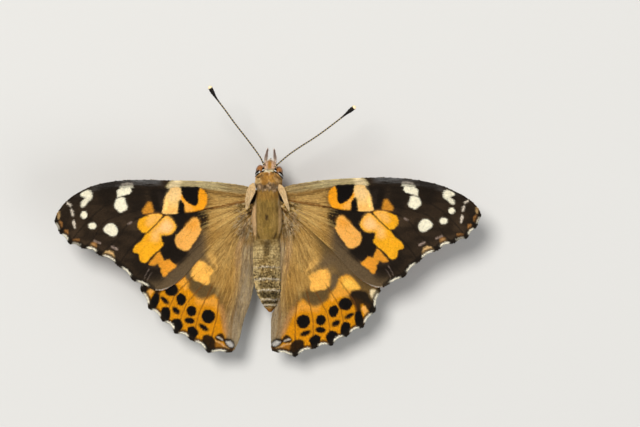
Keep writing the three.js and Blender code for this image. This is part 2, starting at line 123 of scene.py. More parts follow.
BLACK = daylight(15, 11, 8)
DARK = daylight(27, 20, 13)
GROUND = daylight(50, 38, 26)
GROUND_LIGHT = daylight(72, 56, 40)
TAUPE = daylight(102, 83, 58)
BROWN = daylight(100, 78, 44)
OCHRE = daylight(180, 138, 70)
OCHRE_PALE = daylight(204, 168, 102)
OCHRE_DARK = daylight(124, 90, 42)
GREY_BEIGE = daylight(184, 166, 124)
COSTA_GREY = daylight(180, 162, 116)
HINGE_GREY = daylight(170, 154, 124)
GREY_BROWN = daylight(156, 138, 110)
FOLD_PINK = daylight(204, 166, 118)
FOLD_PALE = daylight(204, 170, 102)
CREAM = daylight(230, 208, 164)
FRINGE_WHITE = daylight(240, 232, 208)
WHITE = daylight(241, 233, 206)
DULL_WHITE = daylight(216, 202, 182)
PINK_GREY = daylight(168, 146, 132)
ORANGE = daylight(240, 170, 30)
ORANGE_DEEP = daylight(234, 156, 46)
ORANGE_SOFT = daylight(242, 176, 84)
ORANGE_PALE = daylight(249, 192, 112)
ORANGE_CREAM = daylight(247, 198, 116)
ORANGE_HIND = daylight(218, 142, 10)
ORANGE_DUSK = daylight(180, 112, 6)
ORANGE_DISCAL = daylight(250, 186, 84)
ORANGE_RING = daylight(240, 158, 26)
ORANGE_ROSY = daylight(252, 200, 140)
ORANGE_LIGHT = daylight(253, 200, 84)
ORANGE_AMBER = daylight(238, 166, 56)
SALMON = daylight(214, 150, 88)
RUST = daylight(150, 96, 30)
RUST_DARK = daylight(112, 66, 20)
TAN = daylight(184, 126, 66)
TAN_PALE = daylight(220, 178, 118)
SHEEN = daylight(92, 90, 88)
BLUE_GREY = daylight(188, 182, 174)
ROSE = daylight(226, 140, 96)
RING_BLUE = daylight(96, 122, 150)
RING_YELLOW = daylight(222, 196, 120)
UNDER_TAN = daylight(150, 124, 84)
UNDER_ROSE = daylight(216, 128, 80)
OLIVE = daylight(110, 96, 62)
FUR_UMBER = daylight(92, 62, 26)
FUR_OLIVE = daylight(136, 108, 50)
FUR_BROWN = daylight(118, 92, 44)
FUR_GOLD = daylight(160, 130, 72)
FUR_PINK = daylight(192, 158, 118)
FUR_RUST = daylight(164, 118, 52)
FUR_DARK = daylight(58, 42, 22)
FUR_GREY = daylight(176, 160, 130)
FUR_WHITE = daylight(226, 214, 190)
FUR_MAUVE = daylight(108, 86, 60)
FUR_SOOT = daylight(46, 38, 20)
FUR_STRAW = daylight(206, 182, 128)
FUR_ROSY = daylight(200, 166, 136)
FUR_PEACH = daylight(188, 148, 96)
FUR_BLUSH = daylight(202, 168, 124)
FUR_TAN = daylight(140, 115, 68)
EYE_WHITE = daylight(250, 246, 236)
EYE_BROWN = daylight(96, 62, 26)
EYE_AMBER = daylight(146, 88, 26)
EYE_DARK = daylight(38, 20, 12)
LEG_BROWN = daylight(128, 104, 72)
LEG_PALE = daylight(196, 174, 134)
LEG_DARK = daylight(84, 62, 40)
TAIL_RUST = daylight(128, 84, 30)
COLLAR_DARK = daylight(110, 64, 24)
COLLAR_BROWN = daylight(112, 76, 32)
CROWN_GREY = daylight(142, 124, 92)
CROWN_ARCH = daylight(190, 182, 146)
FEELER_BLACK = daylight(18, 12, 8)
FEELER_PALE = daylight(206, 184, 140)
CLUB_TIP = daylight(238, 214, 170)
PALP_MAUVE = daylight(140, 118, 110)
PALP_PALE = daylight(214, 196, 176)
TONGUE_BROWN = daylight(74, 50, 28)
TEGULA_CREAM = daylight(232, 206, 160)
TEGULA_ROSY = daylight(190, 158, 112)


# Small numeric helpers
def smoothstep(low, high, value):
    share = np.clip((value - low) / (high - low), 0, 1)
    return share * share * (3 - 2 * share)


def band(value, middle, half, soft=0.12):
    return 1 - smoothstep(half - soft, half + soft, np.abs(value - middle))


def profile(table, where):
    """Smoothly stepped values between (where, value) pairs of rising where."""
    places, values = np.array(table, float).T
    index = np.clip(np.searchsorted(places, where) - 1, 0, len(places) - 2)
    share = np.clip((where - places[index]) / (places[index + 1] - places[index]), 0, 1)
    share = share * share * (3 - 2 * share)
    return values[index] * (1 - share) + values[index + 1] * share


def run_along(line):
    """How far along a line each of its points lies."""
    return np.concatenate([[0], np.cumsum(np.linalg.norm(np.diff(line, axis=0), axis=1))])


def smooth_line(points, step=None, closed=False, count=None):
    """A smooth curve through a few points, at equal steps."""
    given = np.array(points, float)
    if closed:
        ring = np.vstack([given[-1], given, given[0], given[1]])
    else:
        ring = np.vstack([2 * given[0] - given[1], given, 2 * given[-1] - given[-2]])
    parts = []
    for before, start, end, after in zip(ring, ring[1:], ring[2:], ring[3:]):
        share = np.linspace(0, 1, 17)[:-1, None]
        slope_in, slope_out = (end - before) / 2, (after - start) / 2
        length = np.linalg.norm(end - start)
        slope_in *= min(1, 1.2 * length / max(np.linalg.norm(slope_in), 1e-9))
        slope_out *= min(1, 1.2 * length / max(np.linalg.norm(slope_out), 1e-9))
        square, cube = share ** 2, share ** 3
        parts.append((2 * cube - 3 * square + 1) * start + (cube - 2 * square + share) * slope_in
                     + (3 * square - 2 * cube) * end + (cube - square) * slope_out)
    line = np.vstack(parts + [ring[-2:-1]])
    run = run_along(line)
    if count is None:
        count = max(2, int(round(run[-1] / step)) + 1)
    stops = np.linspace(0, run[-1], count)
    spaced = np.stack([np.interp(stops, run, axis) for axis in line.T], axis=1)
    return spaced[:-1] if closed else spaced


def value_noise(points, size, seed):
    """Smooth noise from -1 to 1 over plan points, with lumps of about size (x, y) millimetres."""
    table = np.random.default_rng(seed).uniform(-1, 1, (64, 64))
    place = points / np.broadcast_to(np.array(size, float), (2,)) + 1000
    cell = np.floor(place).astype(int)
    share = place - cell
    share = share * share * (3 - 2 * share)
    (i, j), (u, v) = cell.T % 64, share.T
    i1, j1 = (i + 1) % 64, (j + 1) % 64
    low = table[i, j] * (1 - u) + table[i1, j] * u
    high = table[i, j1] * (1 - u) + table[i1, j1] * u
    return low * (1 - v) + high * v


def to_segments(points, line, closed=False):
    """Distance from each plan point to a line, and the line's direction at the nearest place."""
    starts = line if closed else line[:-1]
    ends = np.roll(line, -1, axis=0) if closed else line[1:]
    best = np.full(len(points), np.inf)
    way = np.zeros((len(points), 2))
    for start, end in zip(starts, ends):
        along = end - start
        share = np.clip(((points - start) @ along) / max(along @ along, 1e-12), 0, 1)
        gap = points - start - share[:, None] * along
        square = np.einsum("ij,ij->i", gap, gap)
        nearer = square < best
        best = np.where(nearer, square, best)
        way[nearer] = along
    return np.sqrt(best), way


def inside(points, outline):
    x, y = points.T
    odd = np.zeros(len(points), bool)
    for (x0, y0), (x1, y1) in zip(outline, np.roll(outline, -1, axis=0)):
        if y0 != y1:
            odd ^= ((y0 > y) != (y1 > y)) & (x < (x1 - x0) * (y - y0) / (y1 - y0) + x0)
    return odd


def unit(vectors):
    return vectors / np.maximum(np.linalg.norm(vectors, axis=-1, keepdims=True), 1e-12)


def mix(base, colour, share):
    return base * (1 - share[:, None]) + colour * share[:, None]


def plain(colour, places):
    """One colour for every place."""
    return np.tile(colour, (len(places), 1))


def washes(colours, *layers):
    """Lays colours over others, each with its share at every place."""
    for colour, share in layers:
        colours = mix(colours, colour, share)
    return colours


# Photo pixels as plan points of a wing: outwards from the body's middle, and forwards
def from_left(px, py):
    dx, dy = px - PHOTO_AXIS_X, py - PHOTO_ZERO_Y
    cos, sin = math.cos(PHOTO_TURN), math.sin(PHOTO_TURN)
    return -(dx * cos - dy * sin) * MM_PER_PX, -(dx * sin + dy * cos) * MM_PER_PX


def from_right(px, py):
    out, forwards = from_left(px, py)
    return -out, forwards


def from_right_hind(px, py):
    """A mark seen on the right hindwing, on the chart of the wing that isn't drawn back."""
    return tuple(swing_back(np.array([from_right(px, py)]), -HIND_SWING["right"])[0])


def swing_back(points, angle):
    cos, sin = math.cos(angle), math.sin(angle)
    x, y = (points - HIND_HINGE).T
    return np.stack([x * cos + y * sin, y * cos - x * sin], axis=1) + HIND_HINGE


# Wing charts: veins in plan, outwards and forwards, in millimetres
FORE_VEINS = {
    "Sc": [(3, 6), (7.1, 6.7), (11.6, 7.1), (15.3, 7.5), (18.3, 7.8)],
    "R": [(2.8, 5.2), (7.1, 5.8), (10.8, 6.45), (14.6, 6.8), (16.8, 6.5)],
    "R1": [(14.6, 6.8), (18.3, 7.15), (22.1, 7.4)],
    "R2": [(16.8, 6.5), (21.3, 6.75), (25.8, 6.4)],
    "R3": [(16.8, 6.5), (20, 6.5), (23.6, 6.25), (27.3, 5.6), (30.2, 4.2)],
    "R4": [(25.1, 5.6), (28.1, 4.75), (30.3, 3.7), (32.05, 1.9)],
    "R5": [(16.8, 6.5), (21.3, 6.3), (25.1, 5.6), (28.7, 3.8), (30.3, 2.2), (31.3, 0.15)],
    "M1": [(16.7, 5.8), (21, 5.3), (23.2, 4.6), (25.6, 3.1), (27.1, 1.8), (28.5, 0.3), (29.9, -1.5)],
    "M2": [(16.4, 3.9), (21.4, 2.8), (24.6, 1.6), (26.4, -0.9), (27.8, -2.3)],
    "M3": [(15.4, 2.6), (18.7, 2.4), (21.3, 1), (22.8, -1), (25.4, -3.3)],
    "CuA1": [(15.4, 2.6), (18.5, -0.1), (20.8, -2.4), (22.6, -4.9)],
    "CuA2": [(10.4, 3.15), (13.2, 0.3), (15.8, -2.4), (17.8, -4.4), (20.4, -7.2)],
    "Cu": [(2.8, 4.6), (6.4, 3.9), (8.6, 3.5), (10.4, 3.15), (13, 2.9), (15.4, 2.6)],
    "cell end": [(16.8, 6.5), (16.65, 5.8), (16.4, 3.9), (15.4, 2.6)],
    "2A": [(2.8, 3.6), (7.9, 0.2), (12.5, -3.8), (15.6, -6.6), (17.6, -8.6)],
}
FORE_COSTA = [(1.5, 6), (3.2, 6.7), (6.3, 7.2), (10, 7.55), (14.1, 7.7), (17.5, 7.75), (20.5, 7.65),
              (23, 7.35), (25.6, 6.8), (27.4, 6.12), (29.2, 5.2), (30.4, 4.35), (31.3, 3.45), (31.85, 2.6)]
FORE_TEETH = ["R4", "R5", "M1", "M2", "M3", "CuA1", "CuA2", "2A"]
FORE_DIPS = [0.05, 0.25, 0.3, 0.45, 0.35, 0.3, 0.25]
FORE_INNER = [(17.6, -8.6), (16.4, -8.85), (14.9, -8.3), (13.4, -7.3), (11.8, -5.6), (9.5, -3.1),
              (6.5, -0.2), (3.2, 2.6), (1.5, 3.6)]

HIND_VEINS = {
    "Sc": [(2.6, 2.7), (9, 1), (14.5, -1.6), (17.6, -3.8), (19.4, -5.4)],
    "Rs": [(2.6, 2.5), (5.2, 1), (6.9, -0.2), (9.8, -2.8), (14.8, -6), (19.4, -8.75)],
    "M1": [(9.8, -2.8), (13, -5.5), (15.8, -7.9), (16.8, -9.4), (18.2, -11.5)],
    "M2": [(9.1, -4.6), (11.5, -6.9), (14, -9.3), (14.9, -10.9), (16.25, -13.35)],
    "M3": [(7.9, -5.8), (9.9, -8), (12.4, -10.8), (13.2, -12.5), (14.3, -15.35)],
    "CuA1": [(7.5, -6.1), (9.2, -9.4), (10.6, -12.2), (11.1, -13.9), (11.9, -16.4)],
    "CuA2": [(6.1, -3.6), (7, -7.4), (7.7, -10.8), (8.1, -13.3), (9.4, -18.35)],
    "Cu": [(2.6, 2.2), (5.3, -1.4), (6.1, -3.6), (7.5, -6.1)],
    "cell end": [(9.8, -2.8), (9.1, -4.6), (7.9, -5.8), (7.5, -6.1)],
    "2A": [(2.6, 1.8), (4.3, -2.9), (5, -7.4), (5.6, -12.5), (5.9, -15.6), (5.95, -18.35)],
    "3A": [(2.3, 1.3), (3, -3), (3.3, -8), (4, -12.4)],
}
HIND_COSTA = [(1.95, 3.1), (5, 2.85), (8, 2.2), (11.5, 1.15), (14, 0.1), (16.4, -1.4), (18.2, -3.3)]
HIND_TEETH = ["Sc", "Rs", "M1", "M2", "M3", "CuA1", "CuA2", "2A"]
HIND_DIPS = [0.35, 0.35, 0.4, 0.5, 0.45, 0.45, 0.25]
HIND_INNER = [(5.95, -18.35), (5.3, -17.8), (4.7, -16.5), (3.95, -13.6), (3.1, -11.3), (2.5, -9),
              (2.2, -7.4), (2, -2.9), (1.95, -0.2), (1.95, 1)]

# Half width and height of each vein's ridge
THIN_VEIN = (0.1, 0.05)
VEIN_RIDGES = {"R": (0.2, 0.12), "Cu": (0.16, 0.1), "Sc": (0.18, 0.12), "cell end": (0.08, 0.01),
               "2A": (0.13, 0.07), "Rs": (0.13, 0.07), "R1": (0.13, 0.07), "3A": (0.08, 0.03)}


class Chart:
    """One wing in plan: its outline, its veins, and the fields that follow them."""

    def __init__(self, veins, costa, teeth, dips, inner):
        self.veins = {vein: smooth_line(points, MEMBRANE_STEP) for vein, points in veins.items()}
        self.paths = {vein: smooth_line(points, 0.5) for vein, points in veins.items()}
        ends = [np.array(veins[vein][-1], float) for vein in teeth]
        self.margin = [scallop(*bay)[:-1] for bay in zip(ends, ends[1:], dips)]
        front = smooth_line(costa + [veins[teeth[0]][-1]], MEMBRANE_STEP)[:-1]
        self.outline = np.vstack([front, *self.margin, smooth_line(inner, MEMBRANE_STEP)[:-1]])
        self.front = self.outline[:len(front)]
        self.points, self.triangles = self.fill()
        self.lift, self.sag = self.relief(self.points)

    def fill(self):
        """Triangles over the outline, with a row of points along each vein."""
        low, high = self.outline.min(axis=0), self.outline.max(axis=0)
        rows = np.arange(low[1], high[1], MEMBRANE_STEP * 0.87)
        columns = np.arange(low[0], high[0], MEMBRANE_STEP)
        x, y = np.meshgrid(columns, rows)
        x = x + (np.arange(len(rows)) % 2)[:, None] * MEMBRANE_STEP / 2
        grid = np.stack([x.ravel(), y.ravel()], axis=1)
        grid = grid[inside(grid, self.outline)]
        clear = to_segments(grid, self.outline, closed=True)[0] > MEMBRANE_STEP * 0.55
        ridges = []
        for path in self.veins.values():
            clear &= to_segments(grid, path[::3])[0] > MEMBRANE_STEP * 0.5
            kept = path[inside(path, self.outline)]
            kept = kept[to_segments(kept, self.outline, closed=True)[0] > MEMBRANE_STEP * 0.6]
            for other in ridges:
                gap = np.linalg.norm(kept[:, None] - other[None], axis=2).min(axis=1)
                kept = kept[gap > MEMBRANE_STEP * 0.5]
            if len(kept):
                ridges.append(kept)
        cloud = np.vstack([self.outline, *ridges, grid[clear]])
        count = len(self.outline)
        rim = [(i, (i + 1) % count) for i in range(count)]
        found = delaunay_2d_cdt([Vector(p) for p in cloud], rim, [], 1, 1e-6)
        return np.array([tuple(v) for v in found[0]]), np.array([tuple(f) for f in found[2]])

    def relief(self, points):
        """Height of the vein ridges, and of the shallow hollows between them, at plan points."""
        lift = np.zeros(len(points))
        nearest = np.full(len(points), np.inf)
        for vein, path in self.paths.items():
            half, height = VEIN_RIDGES.get(vein, THIN_VEIN)
            gap, _ = to_segments(points, path)
            taper = 0.45 + 0.55 * smoothstep(0, 6, np.linalg.norm(points - path[-1], axis=1))
            lift = np.maximum(lift, height * taper * (1 - smoothstep(0.1 * half, 1.5 * half, gap)))
            nearest = np.minimum(nearest, gap)
        rim, _ = to_segments(points, self.front)
        lift = np.maximum(lift, 0.09 * (1 - smoothstep(0.05, 0.25, rim)))
        sag = 0.16 * smoothstep(0, 1.6, nearest) + 0.03 * value_noise(points, 0.9, 3)
        return lift, sag * smoothstep(0, 0.6, np.minimum(nearest, 1))

    def flow(self, points):
        """The direction of the nearest veins, root to margin, at plan points."""
        total = np.zeros((len(points), 2))
        for vein, path in self.paths.items():
            if vein != "cell end":
                gap, way = to_segments(points, path)
                total += unit(way) / (gap[:, None] ** 2 + 0.05)
        return unit(total)

    def vein_gap(self, points):
        """Distance from each plan point to the nearest vein."""
        return np.min([to_segments(points, path)[0] for path in self.paths.values()], axis=0)


def scallop(start, end, dip):
    """The margin between two vein ends: a shallow bay with rounded shoulders at the teeth."""
    count = max(3, int(np.linalg.norm(end - start) / MEMBRANE_STEP) + 1)
    share = np.linspace(0, 1, count)[:, None]
    along = end - start
    inwards = unit(np.array([along[1], -along[0]]))
    if inwards @ (start - HIND_HINGE) > 0:
        inwards = -inwards
    bay = np.sin(math.pi * share) ** 1.4
    return start + along * share + inwards * dip * bay


CHARTS = {"fore": Chart(FORE_VEINS, FORE_COSTA, FORE_TEETH, FORE_DIPS, FORE_INNER),
          "hind": Chart(HIND_VEINS, HIND_COSTA, HIND_TEETH, HIND_DIPS, HIND_INNER)}
FORE, HIND = CHARTS["fore"], CHARTS["hind"]

# The forewing's rear edge rests on the hindwing: how deep it dips, and over what width
FORE_REAR = smooth_line(FORE_INNER[2:], 0.7)
REAR_DIP = 1.05
REAR_WIDTH = 6.5
# How far ahead of the chart the tip's leading edge lies, as the two wings are tilted differently,
# and where that sets in, outwards and forwards
FORE_SPREAD = {"left": 0.5, "right": -0.25}
SPREAD_ZONE = ((14, 28), (1.5, 6))


# Where a plan point of a wing lies in space
def place_fore(points, sag, side):
    out, forwards = points.T
    away = out - FORE_HINGE_X
    rise = away * math.tan(FORE_DIHEDRAL) - FORE_DROOP * (np.maximum(away, 0) / FORE_REACH) ** 2
    rear, _ = to_segments(points, FORE_REAR)
    rise -= REAR_DIP * (1 - smoothstep(0, REAR_WIDTH, rear)) ** 1.5
    outer, front = (smoothstep(*zone, value) for zone, value in zip(SPREAD_ZONE, (out, forwards)))
    ahead = FORE_SPREAD[side] * outer * front
    return np.stack([SIDES[side] * out, forwards + ahead, FORE_HINGE_Z + rise - sag], axis=1)


def body_edge(forwards, side):
    """Where a hindwing meets the body and turns down beside it, outwards from the plan's middle."""
    return profile(BODY_LIMIT, forwards) + SIDES[side] * profile(BODY_AXIS, forwards)


def place_hind(points, sag, side):
    trough = TROUGH_DEPTH * np.maximum(0, profile(LOBE_EDGE, points[:, 1]) - points[:, 0])
    turned = swing_back(points, HIND_SWING[side])
    away = np.maximum(0, turned[:, 0] - HIND_HINGE[0])
    height = HIND_HINGE_Z + away * math.tan(HIND_DIHEDRAL) - sag - trough
    fold = np.maximum(0, body_edge(turned[:, 1], side) - turned[:, 0])
    return np.stack([SIDES[side] * (turned[:, 0] + fold), turned[:, 1], height - fold], axis=1)


PLACE = {"fore": place_fore, "hind": place_hind}


# Meshes
def build(name, points, faces, colours=None, uv=None, smooth=True):
    """An object from points in the butterfly's millimetres and triangles or quads."""
    faces = np.asarray(faces)
    mesh = bpy.data.meshes.new(name)
    mesh.vertices.add(len(points))
    mesh.vertices.foreach_set("co", ((points + SHIFT) * 0.001).astype(np.float32).ravel())
    mesh.loops.add(faces.size)
    mesh.loops.foreach_set("vertex_index", faces.astype(np.int32).ravel())
    mesh.polygons.add(len(faces))
    mesh.polygons.foreach_set("loop_start", np.arange(0, faces.size, faces.shape[1], dtype=np.int32))
    mesh.update(calc_edges=True)
    if colours is not None:
        layer = mesh.color_attributes.new("Markings", "FLOAT_COLOR", "POINT")
        full = np.concatenate([np.clip(colours, 0, 1), np.ones((len(points), 1))], axis=1)
        layer.data.foreach_set("color", full.astype(np.float32).ravel())
    if uv is not None:
        layer = mesh.uv_layers.new(name="OFBake")
        layer.data.foreach_set("uv", uv[faces.ravel()].astype(np.float32).ravel())
    if smooth:
        mesh.polygons.foreach_set("use_smooth", np.ones(len(faces), bool))
    piece = bpy.data.objects.new(name, mesh)
    bpy.context.scene.collection.objects.link(piece)
    return piece


def finish_piece(piece, slot, material, *nodes):
    piece.data.materials.append(material)
    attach(piece, "root")
    if nodes:
        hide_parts(*nodes)
    return piece


def vertex_normals(points, triangles):
    a, b, c = (points[triangles[:, i]] for i in range(3))
    faces = np.cross(b - a, c - a)
    normals = np.zeros_like(points)
    for i in range(3):
        np.add.at(normals, triangles[:, i], faces)
    return unit(normals)


def ring_faces(rows, sides):
    """Faces over rows of rings, and over both ends, whose middles come after the rings' points."""
    row, column = (grid.ravel() for grid in np.meshgrid(np.arange(rows - 1), np.arange(sides), indexing="ij"))
    a, b = row * sides + column, row * sides + (column + 1) % sides
    ring = np.arange(sides)
    following = (ring + 1) % sides
    end = (rows - 1) * sides
    corners = [(a, b + sides, b), (a, a + sides, b + sides), (np.full(sides, rows * sides), ring, following),
               (np.full(sides, rows * sides + 1), end + following, end + ring)]
    return np.vstack([np.stack(three, axis=1) for three in corners])


# Materials, whose relief is this deep in metres
BUMP_DEPTH = 0.00004


def surface(name, roughness, specular, bump=0.0, bump_size=0.1, grain=0.0, gloss=0.0):
    """A finish that shows the painted markings, with fine grain in its colour and its relief."""
    material = bpy.data.materials.new(name)
    material.use_nodes = True
    nodes, links = material.node_tree.nodes, material.node_tree.links
    shader = nodes["Principled BSDF"]
    markings = nodes.new("ShaderNodeAttribute")
    markings.attribute_name = "Markings"
    place = nodes.new("ShaderNodeTexCoord")
    speckle = nodes.new("ShaderNodeTexNoise")
    level = nodes.new("ShaderNodeMapRange")
    tint = nodes.new("ShaderNodeVectorMath")
    tint.operation = "SCALE"
    settings = {
        shader: {"Roughness": roughness, "Specular IOR Level": specular, "Coat Weight": gloss},
        speckle: {"Scale": 1000 / bump_size, "Detail": 3},
        level: {"From Min": 0.25, "From Max": 0.75, "To Min": 1 - grain, "To Max": 1 + grain},
    }
    for node, values in settings.items():
        for socket, value in values.items():
            node.inputs[socket].default_value = value
    links.new(place.outputs["Object"], speckle.inputs["Vector"])
    links.new(speckle.outputs["Fac"], level.inputs["Value"])
    links.new(markings.outputs["Color"], tint.inputs[0])
    links.new(level.outputs["Result"], tint.inputs["Scale"])
    links.new(tint.outputs["Vector"], shader.inputs["Base Color"])
    if bump:
        relief = nodes.new("ShaderNodeBump")
        relief.inputs["Strength"].default_value = bump
        relief.inputs["Distance"].default_value = BUMP_DEPTH
        links.new(speckle.outputs["Fac"], relief.inputs["Height"])
        links.new(relief.outputs["Normal"], shader.inputs["Normal"])
    return material


WING_SKIN = surface("wing_membrane", 0.75, 0.08, bump=0.5, bump_size=0.12, grain=0.14)
WING_SCALES = surface("wing_scales", 0.7, 0.08, grain=0.12, bump_size=0.3)
FUR = surface("fur", 0.75, 0.1, grain=0.1, bump_size=0.25)
BODY_SKIN = surface("body_skin", 0.8, 0.1, bump=0.5, bump_size=0.2, grain=0.2)
FEELER = surface("feeler", 0.6, 0.15, bump=0.4, bump_size=0.06, grain=0.15)
CHITIN = surface("chitin", 0.3, 0.5, bump=0.3, bump_size=0.08, grain=0.15)
LEG_SURFACE = surface("leg", 0.55, 0.35, bump=0.5, bump_size=0.08, grain=0.2)
EYE_SURFACE = surface("eye", 0.35, 0.4, bump=0.35, bump_size=0.05, grain=0.15, gloss=0.15)

# Marks: closed patches, strokes and spots, in plan. Each gives how deep a plan point lies in the mark,
# up to a short way off it.
MARK_REACH = 2.5
FAR_OFF = -9.0


def near_to(points, shape):
    low, high = shape.min(axis=0) - MARK_REACH, shape.max(axis=0) + MARK_REACH
    return np.all((points > low) & (points < high), axis=1)


def patch(*pixels, read=from_left):
    ring = smooth_line([read(*pixel) for pixel in pixels], 0.25, closed=True)

    def depth(points):
        found = np.full(len(points), FAR_OFF)
        near = near_to(points, ring)
        gap, _ = to_segments(points[near], ring, closed=True)
        found[near] = np.where(inside(points[near], ring), gap, -gap)
        return found
    return depth


def stroke(half, *pixels, read=from_left):
    path = smooth_line([read(*pixel) for pixel in pixels], 0.25)

    def depth(points):
        found = np.full(len(points), FAR_OFF)
        near = near_to(points, path)
        found[near] = half * MM_PER_PX - to_segments(points[near], path)[0]
        return found
    return depth


def spot(px, py, across, up, turn=0, read=from_left):
    centre = np.array(read(px, py))
    cos, sin = math.cos(math.radians(turn)), math.sin(math.radians(turn))

    def depth(points):
        x, y = ((points - centre) / MM_PER_PX).T
        reach = np.hypot((x * cos + y * sin) / across, (y * cos - x * sin) / up)
        return (1 - reach) * min(across, up) * MM_PER_PX
    return depth


def lay(colours, points, marks, seed):
    """Paints marks over colours in their order, with the ragged edges that rows of scales give."""
    ragged = 0.07 * value_noise(points, 0.3, seed) + 0.05 * value_noise(points, 0.9, seed + 1)
    for shape, colour, soft, strength in marks:
        share = smoothstep(-soft, soft, shape(points) + ragged * min(1, 0.4 + soft))
        colours = mix(colours, colour, share * strength)
    return colours


def streaks(points, origin, fineness, seed):
    """Noise drawn out into streaks that fan from a wing's root."""
    away = points - origin
    fan = np.stack([np.arctan2(away[:, 1], away[:, 0]) * fineness, np.linalg.norm(away, axis=1) / 5], axis=1)
    return value_noise(fan, 1, seed)


FORE_ROOT = np.array([0.5, 4.8])
HIND_ROOT = np.array([1.5, 3.5])

# Each mark's shape in the photo's pixels, its colour, how soft its edge is in millimetres, and its
# strength. First the forewing's fields, which shade softly into each other
FORE_FIELDS = [
    (patch((200, 240), (190, 252), (180, 262), (172, 269), (162, 276), (152, 279), (142, 284), (146, 294),
           (160, 297), (182, 290), (200, 272), (225, 245), (250, 218), (236, 205), (215, 215)),
     TAUPE, 0.8, 0.95),
    (patch((262, 182), (240, 186), (215, 188), (208, 194), (208, 203), (207, 213), (207, 226), (207, 238),
           (208, 252), (214, 254), (230, 238), (248, 216), (262, 200)), OCHRE, 1.1, 0.95),
    (patch((262, 178), (240, 184), (222, 188), (214, 200), (216, 216), (226, 226), (248, 210), (262, 200)),
     OCHRE_PALE, 1.6, 0.55),
    (patch((160, 236), (176, 233), (177, 246), (188, 253), (178, 264), (165, 259), (159, 250)),
     DARK, 0.5, 1),
    (patch((163, 214), (176, 212), (198, 211), (200, 216), (190, 220), (178, 232), (172, 220)),
     DARK, 0.4, 1),
    (patch((150, 190), (168, 189), (162, 200), (160, 214), (154, 212), (151, 203)), DARK, 0.5, 1),
    (patch((140, 258), (150, 268), (160, 268), (163, 280), (152, 284), (140, 276), (132, 264)),
     DARK, 0.7, 0.8),
    (patch((176, 190), (190, 183), (204, 186), (202, 206), (186, 214), (176, 212)), BLACK, 0.3, 1),
    (patch((101, 186), (114, 184), (116, 192), (113, 204), (104, 208), (98, 198)), DARK, 0.6, 0.8),
    (patch((128, 192), (142, 190), (146, 200), (141, 212), (132, 214), (127, 204)), DARK, 0.6, 0.75),
    (patch((218, 190), (232, 189), (246, 192), (246, 200), (232, 199), (220, 198)), OCHRE_DARK, 0.7, 0.5),
    (patch((199, 213), (207, 214), (208, 222), (206, 228), (201, 227), (198, 219)), DARK, 0.3, 0.9),
]
